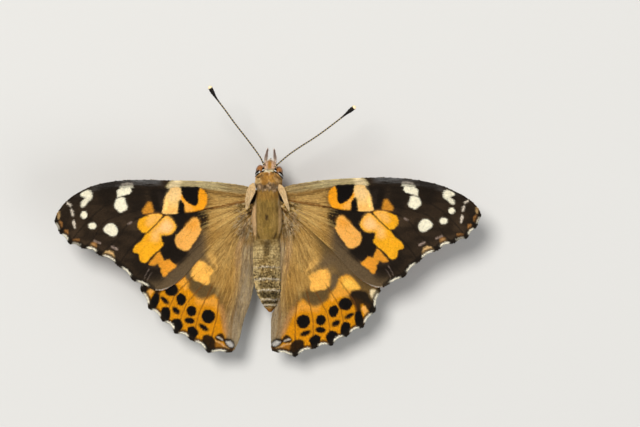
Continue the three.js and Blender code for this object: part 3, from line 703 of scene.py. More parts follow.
FORE_MARKS = [
    # Painted shade: black on the wing root where it lies in the gap beside the thorax
    (patch((262, 186), (256, 189), (253.5, 193), (251, 198), (249.5, 202), (251.5, 203.5), (255, 201),
           (259, 198), (262, 194)), BLACK, 0.12, 1),
    # Leading edge
    (patch((250, 183), (240, 182.4), (220, 181), (200, 179.6), (183, 178.4), (172, 180), (168, 184),
           (166, 188), (180, 187.6), (200, 188), (215, 190), (230, 192), (246, 193)),
     COSTA_GREY, 0.22, 0.95),
    (patch((262, 180), (240, 181), (228, 183), (230, 190), (246, 194), (262, 192)), OCHRE_DARK, 0.7, 0.5),
    (patch((181, 178.5), (174, 180), (169.5, 184), (167.3, 188), (173, 188), (179, 187), (181, 183)),
     CREAM, 0.25, 0.6),
    (stroke(0.35, (240, 185), (220, 184.5), (200, 183.6), (184, 183)), GREY_BROWN, 0.12, 0.6),
    # Orange
    (patch((148.5, 202.5), (151, 204), (152.7, 208), (153.2, 213), (148, 214.6), (143.5, 214), (142, 212),
           (145, 207)), ORANGE_DEEP, 0.22, 0.72),
    (patch((147, 216.3), (152, 214.8), (158, 214.6), (162.5, 215.6), (157, 222.6), (151, 228.4),
           (147, 232.4), (145, 233), (142, 232), (139, 229.5), (137.3, 226), (138, 222), (140.5, 219),
           (143.5, 217.4)), ORANGE, 0.12, 1),
    (patch((150, 216), (160, 215.5), (157, 221), (150, 226), (146, 224)), ORANGE_PALE, 0.5, 0.6),
    (patch((165.5, 216), (168, 216.5), (171, 218.5), (174, 221.5), (175.6, 225), (175.8, 229), (174, 231.6),
           (171.5, 234), (168, 235.2), (163, 235), (161.3, 236.2), (161.5, 240), (163.3, 244), (162, 247),
           (158.5, 250.3), (154, 254), (150, 258), (147.5, 261.5), (145, 263), (142, 262.5), (140, 260),
           (139, 257), (138.4, 253.7), (135.6, 253), (133.2, 251.8), (132.8, 249.5), (134.5, 246.5),
           (137.5, 243.5), (140.5, 241.3), (143, 238), (145, 235.3), (148, 232.3), (152, 228.8),
           (157, 223.8), (162, 218.3)), ORANGE, 0.12, 1),
    (patch((166, 217.5), (171, 220.5), (174, 226), (170, 232.5), (160, 233.5), (158, 240), (152, 240),
           (152, 233), (159, 225)), ORANGE_PALE, 0.6, 0.85),
    (patch((167, 222), (171, 227), (167, 231.5), (161, 230), (162, 225)), ORANGE_ROSY, 0.5, 0.7),
    (patch((159, 251.5), (161, 255), (163, 258.5), (163.8, 261.5), (161, 263), (158, 263.5), (155, 265.2),
           (151, 265.6), (148.8, 264.4), (150, 262), (153, 259), (156, 255)), ORANGE_DEEP, 0.14, 0.95),
    (patch((162, 262), (165, 260.5), (169, 259.5), (171.5, 262), (174, 264), (176.5, 266), (174, 268.5),
           (171, 270.5), (168.5, 272.6), (166.5, 275), (164.5, 277.2), (163, 276), (162, 273), (160.5, 271),
           (161, 268.5), (159.5, 266.5), (158.5, 264.5)), ORANGE_DEEP, 0.16, 0.95),
    (patch((194, 216.8), (197, 217.3), (198.7, 220.5), (199.7, 224), (200.4, 227), (202, 229),
           (200.5, 231.5), (198, 236), (195, 241), (192, 245), (189.5, 249), (186, 250.4), (182, 250),
           (178.5, 248), (176.3, 245.5), (175, 242), (175, 238), (176, 235), (180, 231), (184, 226.5),
           (188, 222), (191.5, 218.3)), ORANGE_SOFT, 0.14, 1),
    (patch((193, 219), (198, 221), (197, 227), (190, 229), (186, 227)), ORANGE_DEEP, 0.6, 0.7),
    (patch((170.5, 188.4), (174, 187.4), (178, 187.4), (180.6, 188.5), (181.2, 191), (182, 195), (184, 199),
           (186, 203), (184.5, 208), (184.5, 211.8), (181, 213), (177, 213.6), (173, 214.4), (168, 214.7),
           (164.5, 214.4), (162.2, 213.4), (163, 208), (163.6, 203), (164.4, 199), (165.6, 196),
           (167.4, 193), (169.2, 190.5)), ORANGE_CREAM, 0.12, 1),
    (patch((171, 189), (179, 188), (180.5, 193), (178, 200), (171, 202), (167, 197)), CREAM, 0.6, 0.35),
    (patch((199, 188.3), (202, 189.2), (204.7, 191), (206.6, 194), (207.2, 199), (206.5, 204), (204.4, 208),
           (200, 210), (194, 211.3), (189, 211.9), (185, 211.9), (183.6, 206), (182, 201), (181, 197),
           (182.5, 192), (188, 189)), ORANGE_RING, 0.14, 1),
    (patch((184, 201), (190, 205), (193, 210), (188, 212), (184.5, 211)), ORANGE_SOFT, 0.4, 0.7),
    (patch((165, 207), (170, 208), (178, 208), (178, 212.6), (168, 213.6), (165, 212.8)),
     ORANGE_SOFT, 0.25, 0.55),
    # Black in the cell and between the orange fields
    (patch((180.6, 186.8), (186, 186.6), (193, 186.6), (199.4, 187.6), (198.6, 192), (198.2, 197),
           (198.7, 200), (197.6, 203.5), (195, 206), (192, 205), (188, 203), (185, 200), (183, 197.5),
           (181.5, 194), (181, 190)), BLACK, 0.1, 1),
    (patch((180, 199.8), (182.2, 201.5), (184.2, 204.5), (184.6, 208), (184.4, 213.6), (178, 213.8),
           (178.4, 207), (178.6, 202)), BLACK, 0.1, 1),
    (stroke(0.5, (165.5, 215), (160, 219.8), (154, 226), (146, 233.4)), DARK, 0.09, 0.8),
    (stroke(0.45, (145, 215.2), (152, 213.8), (160, 213.9), (165, 215.2)), RUST_DARK, 0.09, 0.8),
    (stroke(0.5, (165, 215.2), (178, 214.3), (190, 213), (200, 211), (212, 207.6)), DARK, 0.1, 0.85),
    (stroke(0.4, (164, 247), (158, 252), (152, 257.5), (147, 263)), DARK, 0.09, 0.8),
    (stroke(0.35, (196, 228), (190, 233), (184, 238), (180, 242)), ORANGE_DEEP, 0.12, 0.6),
    (stroke(0.35, (144, 246), (147, 241), (152, 236)), ORANGE_DEEP, 0.12, 0.6),
    # White
    (stroke(0.8, (122, 187), (127, 186), (132, 186)), DULL_WHITE, 0.2, 0.5),
    (stroke(0.9, (120.5, 189.8), (127, 188.8), (132, 188.6)), WHITE, 0.2, 0.75),
    (patch((117, 193), (121, 191), (130, 190), (131, 192), (130, 195.5), (125, 197), (120, 199), (118, 200),
           (117, 197)), WHITE, 0.12, 1),
    (patch((116, 201), (121, 199.5), (124.5, 199.5), (125, 203), (127, 208), (126, 211), (120, 213.5),
           (117, 211), (114, 208), (115, 204)), WHITE, 0.12, 1),
    (stroke(0.3, (117, 200.6), (121, 199), (126, 198)), DARK, 0.09, 0.8),
    (patch((80.5, 198), (83, 195.5), (88, 194), (92, 197), (90, 200), (86, 201), (82, 200.5)),
     WHITE, 0.14, 0.95),
    (patch((91.5, 199.5), (91, 202), (87.6, 204.6), (84, 208.6), (81, 209), (80.6, 206), (83.5, 202.6),
           (87.6, 200)), WHITE, 0.14, 0.9),
    (spot(83.5, 216, 3.2, 3.2), WHITE, 0.1, 1),
    (spot(92, 226, 4, 3.3), WHITE, 0.1, 1),
    (patch((103, 229), (105, 226), (109, 224), (113, 224), (117, 228.5), (117.5, 232), (116, 235),
           (112, 236.5), (107, 234), (103.5, 231)), WHITE, 0.12, 1),
    (stroke(0.9, (67, 206), (70, 208)), DULL_WHITE, 0.14, 0.9),
    (stroke(1.1, (71, 212), (72.5, 216)), DULL_WHITE, 0.14, 0.95),
    (stroke(1.1, (73, 222), (74.5, 228)), DULL_WHITE, 0.14, 0.95),
    (stroke(0.8, (94, 241), (100, 243.5)), PINK_GREY, 0.14, 0.8),
    (stroke(1.0, (112, 247), (117, 249.5)), PINK_GREY, 0.14, 0.9),
    (stroke(0.6, (128, 224), (131, 222.5)), PINK_GREY, 0.14, 0.6),
    (stroke(0.25, (144, 279), (147, 272), (149, 269)), PINK_GREY, 0.1, 0.35),
    (stroke(0.25, (147, 281), (150, 275), (152, 272)), PINK_GREY, 0.1, 0.3),
    # Patches inside the fringe
    (patch((56.5, 213.5), (59.3, 214), (59.5, 219), (57, 220)), TAN_PALE, 0.14, 0.5),
    (patch((58, 221.5), (61, 222), (62, 226), (60, 229), (57.8, 227)), TAN, 0.16, 0.7),
    (patch((63.2, 231.5), (65.5, 230), (68, 231.5), (68, 235), (66, 238), (64, 235.5)), TAN, 0.16, 0.75),
    (patch((72.5, 240.5), (75, 239), (78.6, 239.6), (79, 241.8), (76, 243.6), (73.4, 242.6)),
     TAN, 0.18, 0.7),
    (patch((87, 249), (89.5, 246.2), (92.5, 243.4), (95.4, 244.6), (96, 249), (95.5, 253), (91, 251)),
     TAN_PALE, 0.18, 0.85),
    (patch((91, 243), (96, 243), (96, 248), (92, 247)), TAN, 0.2, 0.6),
    (patch((102, 255.5), (104.5, 252.6), (108.4, 251), (112.4, 252.4), (114.4, 256), (114.6, 260.5),
           (110, 258.6), (105, 256.8)), TAN_PALE, 0.16, 1),
    (stroke(0.5, (150, 289.2), (156, 291), (163, 290.2), (170, 287.8), (176, 284.8)),
     DULL_WHITE, 0.12, 0.7),
]

# How white the fringe is between each vein end and the next, from the tip to the hind corner
FRINGES = {"fore": [0.5, 1, 0.35, 1, 1, 1, 0.9], "hind": [0.9, 0.9, 0.95, 1, 1, 0.95, 0.9]}


def paint_fore_top(points):
    out = points[:, 0]
    rim = to_segments(points, FORE.front)[0]
    outer = smoothstep(15.3, 17, out)
    streaky = 0.45 + 0.4 * value_noise(points, (1.6, 0.22), 12)
    sheen = (1 - smoothstep(0.3, 1.1, rim)) * outer * 1.6 * streaky
    colours = washes(
        plain(GROUND, points),
        (GROUND_LIGHT, smoothstep(-0.2, 0.9, value_noise(points, (2.4, 1.3), 11)) * 0.5),
        (DARK, smoothstep(0.1, 0.7, value_noise(points, (1.5, 0.7), 10)) * 0.5),
        (DARK, (1 - smoothstep(1.2, 2.2, rim)) * outer * 0.6),
        (SHEEN, np.clip(sheen, 0, 1) * (1 - smoothstep(22, 30, out))))
    colours = lay(colours, points, FORE_FIELDS, 13)
    colours = root_streaks(colours, points, FORE_ROOT, 1 - smoothstep(8.8, 11, out), 14)
    colours = vein_lines(FORE, colours, points, FORE_VEIN_TINTS)
    colours = lay(colours, points, FORE_MARKS, 15)
    return margin_paint(FORE, colours, points, FRINGES["fore"])


def root_streaks(colours, points, origin, reach, seed):
    """Fine light and dark lines of hair that fan out from a wing's root, and grey mottling at its hinge."""
    wide, fine = (streaks(points, origin, fineness, seed + i) for i, fineness in enumerate((24, 75)))
    fan = 0.6 * wide + fine
    speckle = value_noise(points, (0.3, 0.2), seed + 5)
    blotch = value_noise(points, (0.36, 0.3), seed + 6)
    out, forwards = points.T
    hinge = (1 - smoothstep(4, 5.2, out)) * smoothstep(-1.6, -0.2, forwards)
    hinge = hinge * (1 - smoothstep(3.8, 4.8, forwards))
    return washes(
        colours,
        (FUR_UMBER, reach * smoothstep(0.15, 0.75, fan) * 0.48),
        (FOLD_PALE, reach * smoothstep(0.15, 0.85, -fan) * 0.5),
        (FUR_UMBER, reach * smoothstep(0.35, 0.8, speckle) * 0.35),
        (OCHRE_DARK, hinge * 0.12),
        (HINGE_GREY, hinge * smoothstep(0, 0.4, blotch) * 0.85),
        (DARK, hinge * smoothstep(0, 0.4, -blotch) * 0.8))


# Colour, half width in millimetres and strength of the line that a vein draws, and how far out it shows
FORE_VEIN_TINTS = {
    "R": (OCHRE_DARK, 0.1, 0.6, (0, 13)), "Cu": (RUST_DARK, 0.1, 0.85, (0, 12)),
    "2A": (FOLD_PALE, 0.1, 0.6, (0, 8)), "M3": (DARK, 0.07, 0.6, (15, 26)),
    "M1": (DARK, 0.07, 0.6, (16, 31)), "M2": (DARK, 0.07, 0.6, (16, 29)),
    "CuA1": (DARK, 0.08, 0.7, (14, 24)), "CuA2": (DARK, 0.08, 0.7, (10, 22)),
}
HIND_VEIN_TINTS = {
    "M1": (RUST_DARK, 0.07, 0.6, (13, 18)), "M2": (RUST_DARK, 0.07, 0.6, (11, 17)),
    "M3": (RUST_DARK, 0.07, 0.6, (9.6, 15)), "CuA1": (RUST_DARK, 0.07, 0.65, (8.3, 13)),
    "CuA2": (RUST_DARK, 0.08, 0.65, (7.4, 10)), "2A": (OCHRE_DARK, 0.1, 0.5, (3, 7)),
}


def vein_lines(chart, colours, points, tints):
    out = points[:, 0]
    for vein, (colour, half, strength, (start, end)) in tints.items():
        gap, _ = to_segments(points, chart.paths[vein])
        reach = smoothstep(start - 0.5, start + 0.5, out) * (1 - smoothstep(end - 1, end, out))
        colours = mix(colours, colour, (1 - smoothstep(half * 0.5, half * 1.8, gap)) * reach * strength)
    return colours


def margin_paint(chart, colours, points, whites):
    """The pale crescents of the fringe between the dark vein ends, and a thin dark line inside them."""
    for white, edge in zip(whites, chart.margin):
        near = np.linalg.norm(points - edge[len(edge) // 2], axis=1) < 4
        some = points[near]
        gap, _ = to_segments(some, edge)
        start, end = edge[0], edge[-1]
        share = np.clip((some - start) @ (end - start) / np.sum((end - start) ** 2), 0, 1)
        middle = smoothstep(0.1, 0.3, share) * (1 - smoothstep(0.7, 0.9, share))
        pale = (1 - smoothstep(0.14, 0.34, gap)) * middle * white
        dark = (1 - smoothstep(0.45, 0.8, gap)) * 0.85
        colours[near] = mix(mix(colours[near], DARK, dark), FRINGE_WHITE, pale)
    return colours


# The hindwing's fields and marks, in the same way
HIND_FIELDS = [
    (patch((262, 202), (240, 210), (222, 225), (206, 244), (190, 258), (196, 272), (214, 285), (222, 300),
           (224, 330), (240, 330), (250, 290), (262, 250)), OCHRE, 1.0, 0.95),
    # A paler ochre spot beside the forewing's rear edge, partly painted light that lifts the shade the
    # forewing casts on the hindwing there
    (spot(228, 246, 12, 15), OCHRE_PALE, 1.4, 0.4),
    (patch((262, 240), (250, 250), (245, 262), (240, 280), (233, 300), (226, 322), (229, 342), (236, 358),
           (250, 350), (258, 300), (262, 260)), GREY_BROWN, 0.9, 0.9),
    (patch((322, 252), (338, 250), (352, 254), (356, 270), (345, 276), (334, 268), (322, 264),
           read=from_right_hind), TAUPE, 0.9, 0.8),
    # Orange
    (patch((181, 280), (190, 283), (190, 287), (194, 293), (200, 298), (207, 297), (213, 294), (217, 298),
           (218, 306), (220, 314), (222, 322), (223.8, 330), (225.5, 338), (222, 350), (190, 345),
           (165, 326), (142, 304), (138, 290), (160, 282), (172, 282)), ORANGE_HIND, 0.45, 1),
    (stroke(2.0, (221.5, 306), (223.8, 318), (225.6, 332)), SALMON, 0.4, 0.5),
    (stroke(1.6, (231, 290), (229.4, 305), (228.6, 320), (229.4, 334)), OCHRE_DARK, 0.45, 0.45),
    (patch((196, 292), (204, 298), (212, 297), (219, 303), (222, 314), (214, 306), (204, 304), (196, 302)),
     ORANGE_SOFT, 0.5, 0.4),
    (patch((340, 276), (347, 273), (352, 275), (357, 281), (361, 286), (358, 288), (353, 289), (350, 293),
           (345, 295), (338, 296), (332, 300), (330, 294), (334, 288), (337, 281), read=from_right_hind),
     ORANGE_AMBER, 0.25, 0.9),
    (patch((346, 276), (354, 280), (360, 286), (350, 288), (343, 284), read=from_right_hind),
     ORANGE_LIGHT, 0.4, 0.8),
    (patch((197, 259), (200, 261), (203, 260.5), (207, 263), (211.5, 267), (213, 270), (210, 275),
           (209.5, 280), (208, 284.5), (204, 284), (200, 281.5), (195, 280), (190.5, 275), (188.5, 270),
           (192, 264)), ORANGE_DISCAL, 0.2, 1),
    # Brown bands
    (patch((190, 281), (196, 282), (203, 285), (210, 285), (215, 289), (212, 294), (206, 297), (200, 298),
           (193, 293), (188, 287)), BROWN, 0.4, 0.85),
    (patch((188, 268), (190, 260), (196, 254), (205, 254), (204, 258), (198, 259), (192, 264)),
     TAUPE, 0.6, 0.6),
    (patch((352, 290), (360, 289), (368, 291), (372, 299), (376, 306), (374, 312), (368, 311), (366, 305),
           (362, 303), (363, 311), (358, 311), (355, 304), (351, 298), read=from_right_hind),
     DARK, 0.25, 0.95),
    (patch((332, 273), (338, 273), (338, 282), (334, 288), (330, 283), read=from_right_hind),
     TAUPE, 0.3, 0.9),
    (patch((313, 269), (317, 263), (325, 258), (334, 256), (334, 260), (328, 262.5), (322, 266), (316, 271),
           read=from_right_hind), TAUPE, 0.4, 0.6),
]
HIND_MARKS = [
    (patch((371.5, 288), (376, 287.5), (380.5, 291), (379.5, 298), (378, 305), (375.5, 303), (374, 298),
           (371, 293), read=from_right_hind), CREAM, 0.16, 1),
    (patch((362, 307), (366, 304.5), (368, 308), (372, 311), (368, 316), (366, 314), (364, 309),
           read=from_right_hind), ORANGE_SOFT, 0.16, 0.9),
    # Dusky orange between the black spots
    (patch((181, 292), (188, 300), (196, 307), (206, 306), (215, 312), (214, 324), (206, 330), (196, 327),
           (184, 318), (174, 308), (165, 298), (168, 291)), ORANGE_DUSK, 0.7, 0.24),
    # Submarginal eyes and the two rows behind them
    (spot(170.9, 289.2, 7.2, 6.6), BLACK, 0.1, 1),
    (spot(180.7, 299, 5.2, 6.2), BLACK, 0.1, 1),
    (spot(191.3, 310.6, 5.2, 5.5), BLACK, 0.1, 1),
    (spot(208.0, 315.9, 6.9, 7.1), BLACK, 0.1, 1),
    (spot(164, 299.8, 2.5, 5.6, -46), BLACK, 0.14, 1),
    (spot(175.7, 310.5, 3.0, 4.9, -45), BLACK, 0.14, 1),
    (spot(189.2, 320.3, 5.4, 3.1, 12), BLACK, 0.1, 1),
    (spot(203.2, 327, 5.9, 2.6, 36), BLACK, 0.14, 1),
    (patch((153, 294), (157.5, 292.8), (159.2, 298), (158, 303.5), (153, 309.5), (148.6, 308),
           (149.4, 302)), BLACK, 0.12, 1),
    (patch((162, 307), (168, 307), (170, 313), (168.4, 320), (163, 321), (160.3, 315), (161, 310)),
     BLACK, 0.12, 1),
    (patch((172.2, 319), (179.2, 318.5), (182.6, 325), (180.2, 329.5), (175.2, 334), (172.2, 329),
           (171.2, 322)), BLACK, 0.12, 1),
    (patch((187.6, 327), (194, 326.5), (198.4, 332.5), (196, 337), (191, 340), (187.6, 333)),
     BLACK, 0.12, 1),
    (patch((203, 335.5), (209, 334.5), (214, 338.5), (216.4, 346), (213, 352), (207, 353), (203, 348),
           (201.8, 341)), BLACK, 0.16, 0.97),
    (patch((137, 286), (143, 285.5), (147, 289.5), (144, 294.5), (138.5, 293)), BLACK, 0.16, 1),
    # Hind corner: two dark eyes with pale middles above a strip of rusty orange
    (patch((216, 342), (222, 343), (228, 347), (233, 348), (232, 351), (224, 350), (216, 349)),
     RUST, 0.2, 0.9),
    (patch((214.5, 337), (217, 334), (222, 333), (224.6, 337), (224, 341), (219, 341), (216, 339.6)),
     BLACK, 0.16, 0.95),
    (patch((223, 341), (225, 338), (230, 338.4), (233.5, 341), (234.5, 347), (231, 349), (227, 346)),
     BLACK, 0.16, 0.95),
    (stroke(0.6, (217.2, 336.6), (220, 338), (222.4, 339.6)), DULL_WHITE, 0.14, 0.8),
    (patch((225.4, 341.4), (229.6, 340.6), (232.6, 342.8), (233, 346.4), (229, 346)),
     BLUE_GREY, 0.16, 0.95),
    (stroke(0.5, (215.5, 340.6), (220, 342.6), (225, 346.4), (229, 348.4)), TAN_PALE, 0.12, 0.8),
    (stroke(0.6, (222, 350), (227, 350), (232, 351.4)), DARK, 0.14, 0.9),
    (stroke(0.35, (241.5, 331), (239.4, 338), (236.6, 346), (234.5, 351)), FUR_UMBER, 0.14, 0.8),
]
# The hindwing's marks were read a little too far forward
HIND_MARK_SHIFT = np.array([0, 0.13])


def paint_hind_top(points):
    out, forwards = points.T
    seen = points + HIND_MARK_SHIFT
    cloud = value_noise(points, (1.6, 1.6), 21)
    colours = mix(plain(BROWN, points), OCHRE_DARK, smoothstep(-0.3, 0.9, cloud) * 0.5)
    colours = lay(colours, seen, HIND_FIELDS, 23)
    crest = out - profile(LOBE_EDGE, forwards)
    fold = (1 - smoothstep(0.15, 0.7, np.abs(crest))) * smoothstep(-10, -4, forwards)
    lobe = (1 - smoothstep(-0.6, 0, crest)) * smoothstep(-0.5, -2.5, forwards)
    drawn = value_noise(np.stack([out + 0.12 * forwards, forwards], axis=1), (0.22, 3.2), 22)
    colours = washes(
        colours,
        (FOLD_PINK, fold * 0.75),
        (GREY_BROWN, lobe * 0.8),
        (GREY_BEIGE, lobe * smoothstep(0, 0.8, drawn) * 0.6),
        (TAUPE, lobe * smoothstep(0.2, 0.9, -drawn) * 0.6))
    reach = 1 - smoothstep(6.8, 10.5, out + 0.25 * np.maximum(-forwards - 6, 0))
    colours = root_streaks(colours, points, HIND_ROOT, reach * (1 - 0.6 * lobe), 24)
    colours = vein_lines(HIND, colours, points, HIND_VEIN_TINTS)
    colours = lay(colours, seen, HIND_MARKS, 27)
    return margin_paint(HIND, colours, points, FRINGES["hind"])


# Undersides, as the species has them
WHITE_FRINGE = [1] * 7
FORE_UNDER_WHITE = [mark for mark in FORE_MARKS if mark[1] is WHITE]
FORE_UNDER = [
    (patch((133, 250), (140, 262), (150, 272), (162, 286), (146, 292), (120, 262), (104, 246), (96, 236),
           (118, 236), (128, 240)), DARK, 0.4, 0.85),
    (patch((136, 190), (146, 190), (143, 204), (136, 216), (128, 222), (126, 212), (131, 200)),
     DARK, 0.4, 0.85),
    (patch((181, 187), (199, 187), (199, 200), (193, 206), (185, 201)), BLACK, 0.2, 0.95),
    (patch((176, 213), (184, 212), (190, 216), (180, 228), (172, 218)), BLACK, 0.2, 0.95),
    (patch((164, 236), (176, 230), (178, 246), (168, 258), (162, 246)), BLACK, 0.2, 0.95),
    (patch((176, 268), (200, 246), (222, 226), (240, 216), (222, 250), (190, 276)), TAUPE, 0.8, 0.8),
    (patch((166, 180), (183, 179), (180, 188), (168, 188)), CREAM, 0.3, 0.8),
]


def paint_fore_under(points):
    out, forwards = points.T
    colours = mix(plain(UNDER_ROSE, points), ROSE, smoothstep(-0.4, 0.8, value_noise(points, 3, 31)) * 0.6)
    colours = lay(colours, points, FORE_UNDER, 32)
    tip = smoothstep(22.5, 25, out + 0.25 * forwards)
    mottled = value_noise(points, 1.1, 33)
    colours = washes(
        colours,
        (OLIVE, tip * 0.85 * (1 - smoothstep(0.2, 0.7, np.abs(mottled)))),
        (CREAM, tip * smoothstep(0.35, 0.8, mottled) * 0.6))
    colours = lay(colours, points, FORE_UNDER_WHITE, 34)
    rim = to_segments(points, FORE.front)[0]
    costa = mix(plain(COSTA_GREY, points), DARK, smoothstep(14, 16, out) * 0.45)
    colours = washes(
        colours,
        (CREAM, (1 - smoothstep(0.06, 0.18, FORE.vein_gap(points))) * (0.25 + 0.4 * tip)),
        (costa, 1 - smoothstep(0.2, 0.5, rim)))
    return margin_paint(FORE, colours, points, WHITE_FRINGE)


# The pale band across the hindwing's underside, and its eye spots: place in plan, radius and strength
UNDER_BAND = [(14, -1.4), (12.5, -6), (9.5, -9.5), (6.4, -10.4)]
UNDER_EYES = [(16.6, -6.4, 1.0, 0.7), (15.4, -8.6, 1.5, 1), (13.8, -10.9, 0.9, 0.6), (12.2, -12.4, 0.9, 0.6),
              (9.6, -13.4, 1.5, 1)]
UNDER_EYE_RINGS = [(1.0, RING_YELLOW), (0.72, DARK), (0.42, RING_BLUE), (0.16, WHITE)]


def paint_hind_under(points):
    marbling = value_noise(points, (2.1, 1.5), 41)
    mottled = marbling + 0.3 * value_noise(points, (0.9, 0.7), 42)
    pale = to_segments(points, smooth_line(UNDER_BAND, 0.4))[0]
    rim = np.min([to_segments(points, edge)[0] for edge in HIND.margin], axis=0)
    colours = washes(
        plain(UNDER_TAN, points),
        (OLIVE, smoothstep(-0.1, 0.15, mottled) * 0.85),
        (WHITE, (1 - smoothstep(0.1, 0.25, np.abs(mottled + 0.15))) * 0.75),
        (CREAM, (1 - smoothstep(0.6, 1.1, pale + 0.3 * marbling)) * 0.7),
        (CREAM, (1 - smoothstep(0.05, 0.2, HIND.vein_gap(points))) * 0.75),
        (CREAM, (1 - smoothstep(1.5, 2, rim)) * 0.75),
        (BLUE_GREY, (1 - smoothstep(0.15, 0.3, np.abs(rim - 1.5))) * 0.7),
        (OCHRE_DARK, (1 - smoothstep(0.5, 0.9, rim)) * 0.8))
    for out, forwards, radius, strength in UNDER_EYES:
        reach = np.linalg.norm(points - (out, forwards), axis=1) / radius
        for limit, colour in UNDER_EYE_RINGS:
            colours = mix(colours, colour, (1 - smoothstep(limit - 0.08, limit + 0.08, reach)) * strength)
    colours = mix(colours, GREY_BEIGE, (1 - smoothstep(3.5, 5.5, points[:, 0])) * 0.7)
    return margin_paint(HIND, colours, points, WHITE_FRINGE)


PAINT = {("fore", "top"): paint_fore_top, ("fore", "under"): paint_fore_under,
         ("hind", "top"): paint_hind_top, ("hind", "under"): paint_hind_under}
# Where each wing lies in its UV map, and how far its underside is moved from its upper side there
UV_SPAN = 36
UV_ORIGIN = {"fore": (1.5, -10), "hind": (1.5, -20)}
UV_OTHER_FACE = {"fore": (0, 0.5), "hind": (0.5, 0)}


def wing_uv(wing, points, under):
    flat = (points - UV_ORIGIN[wing]) / UV_SPAN
    return flat + np.array(UV_OTHER_FACE[wing]) * under


def boundary(triangles):
    """The edges that only one triangle has, in its own direction."""
    edges = {}
    for a, b, c in triangles:
        for edge in ((a, b), (b, c), (c, a)):
            edges[edge] = True
    return [edge for edge in edges if (edge[1], edge[0]) not in edges]


def on_wing(wing, side, plan, ways, sag):
    """Where plan points lie on a wing's middle sheet, its upward normals, and the ways' directions there."""
    place = PLACE[wing]
    middle = place(plan, sag, side)
    steps = (np.array([PROBE, 0]), np.array([0, PROBE]), ways * PROBE)
    along_x, along_y, along = (place(plan + step, sag, side) - middle for step in steps)
    return middle, unit(np.cross(along_x, along_y)) * SIDES[side], unit(along)


def membrane(wing, side, painted):
    chart = CHARTS[wing]
    triangles = chart.triangles if side == "right" else chart.triangles[:, ::-1]
    middle = PLACE[wing](chart.points, chart.sag, side)
    normals = vertex_normals(middle, triangles)
    count = len(middle)
    upper = middle + normals * (MEMBRANE_HALF + chart.lift)[:, None]
    lower = middle - normals * (MEMBRANE_HALF + 0.7 * chart.lift)[:, None]
    edges = boundary(triangles)
    rim = [(a, a + count, b + count) for a, b in edges] + [(a, b + count, b) for a, b in edges]
    faces = np.vstack([triangles, triangles[:, ::-1] + count, rim])
    colours = np.vstack([painted["top"], painted["under"]])
    uv = np.vstack([wing_uv(wing, chart.points, 0), wing_uv(wing, chart.points, 1)])
    piece = build(f"{wing}wing_{side}_membrane", np.vstack([upper, lower]), faces, colours, uv)
    return finish_piece(piece, f"{wing}wing_membrane", WING_SKIN, f"{wing}wing_{side}")


# Coats: rows of scales on the wings, and tapering tufts where there is hair
SCALE_TIP_RISE = 0.045
SCALE_CROWN = 0.014
SCALE_PLAN = np.array([(0, -0.42), (0, 0.42), (0.72, 0.5), (1, 0), (0.72, -0.5), (0.55, 0)])
SCALE_FACES = np.array([(0, 4, 5), (4, 3, 5), (3, 2, 5), (2, 1, 5), (1, 0, 5), (0, 1, 2),
                        (0, 2, 3), (0, 3, 4)])
TUFT_PATCH = 0.003


def scale_roots(chart, step, rng):
    """Staggered rows of scale roots over a wing, in plan."""
    low, high = chart.outline.min(axis=0), chart.outline.max(axis=0)
    x, y = np.meshgrid(np.arange(low[0], high[0], step), np.arange(low[1], high[1], step * 1.05))
    x = x + (np.arange(len(x)) % 2)[:, None] * step / 2
    roots = np.stack([x.ravel(), y.ravel()], axis=1)
    roots = roots + rng.uniform(-0.22, 0.22, roots.shape) * step
    roots = roots[inside(roots, chart.outline)]
    return roots[to_segments(roots, chart.outline[::2], closed=True)[0] > 0.05]


def scale_layout(wing, face, seed):
    """Everything about a wing's scales that its left and right copies share."""
    chart, step = CHARTS[wing], SCALE_STEP[face]
    rng = np.random.default_rng(seed)
    roots = scale_roots(chart, step, rng)
    lift, sag = chart.relief(roots)
    turn = rng.normal(0, 0.16, len(roots))
    way = chart.flow(roots)
    cos, sin = np.cos(turn), np.sin(turn)
    way = np.stack([way[:, 0] * cos - way[:, 1] * sin, way[:, 0] * sin + way[:, 1] * cos], axis=1)
    colours = PAINT[wing, face](roots) * rng.normal(1, 0.07, (len(roots), 1)).clip(0.8, 1.2)
    return {"roots": roots, "lift": lift, "sag": sag, "way": way, "colours": colours,
            "length": step * rng.uniform(1.7, 2.1, len(roots)),
            "width": step * rng.uniform(1.05, 1.35, len(roots)),
            "rise": SCALE_TIP_RISE * rng.uniform(0.6, 1.5, len(roots))}


def wing_scales(wing, side, face, layout):
    roots, lift = layout["roots"], layout["lift"]
    middle, normal, tangent = on_wing(wing, side, roots, layout["way"], layout["sag"])
    if face == "under":
        normal, lift = -normal, 0.7 * lift
    across = np.cross(normal, tangent)
    base = middle + normal * (MEMBRANE_HALF + lift - 0.012)[:, None]
    along, aside = SCALE_PLAN.T
    height = along[None] * layout["rise"][:, None] + np.array([0, 0, 0, 0, 0, SCALE_CROWN])
    points = (base[:, None] + tangent[:, None] * (along * layout["length"][:, None])[..., None]
              + across[:, None] * (aside * layout["width"][:, None])[..., None]
              + normal[:, None] * height[..., None])
    corners = len(SCALE_PLAN)
    faces = (SCALE_FACES + np.arange(len(roots))[:, None, None] * corners).reshape(-1, 3)
    uv = wing_uv(wing, roots, face == "under")[:, None] + (SCALE_PLAN - (0.5, 0)) * TUFT_PATCH
    piece = build(f"{wing}wing_{side}_scales_{face}", points.reshape(-1, 3), faces,
                  np.repeat(layout["colours"], corners, axis=0), uv.reshape(-1, 2), smooth=False)
    return finish_piece(piece, f"{wing}wing_membrane", WING_SCALES)


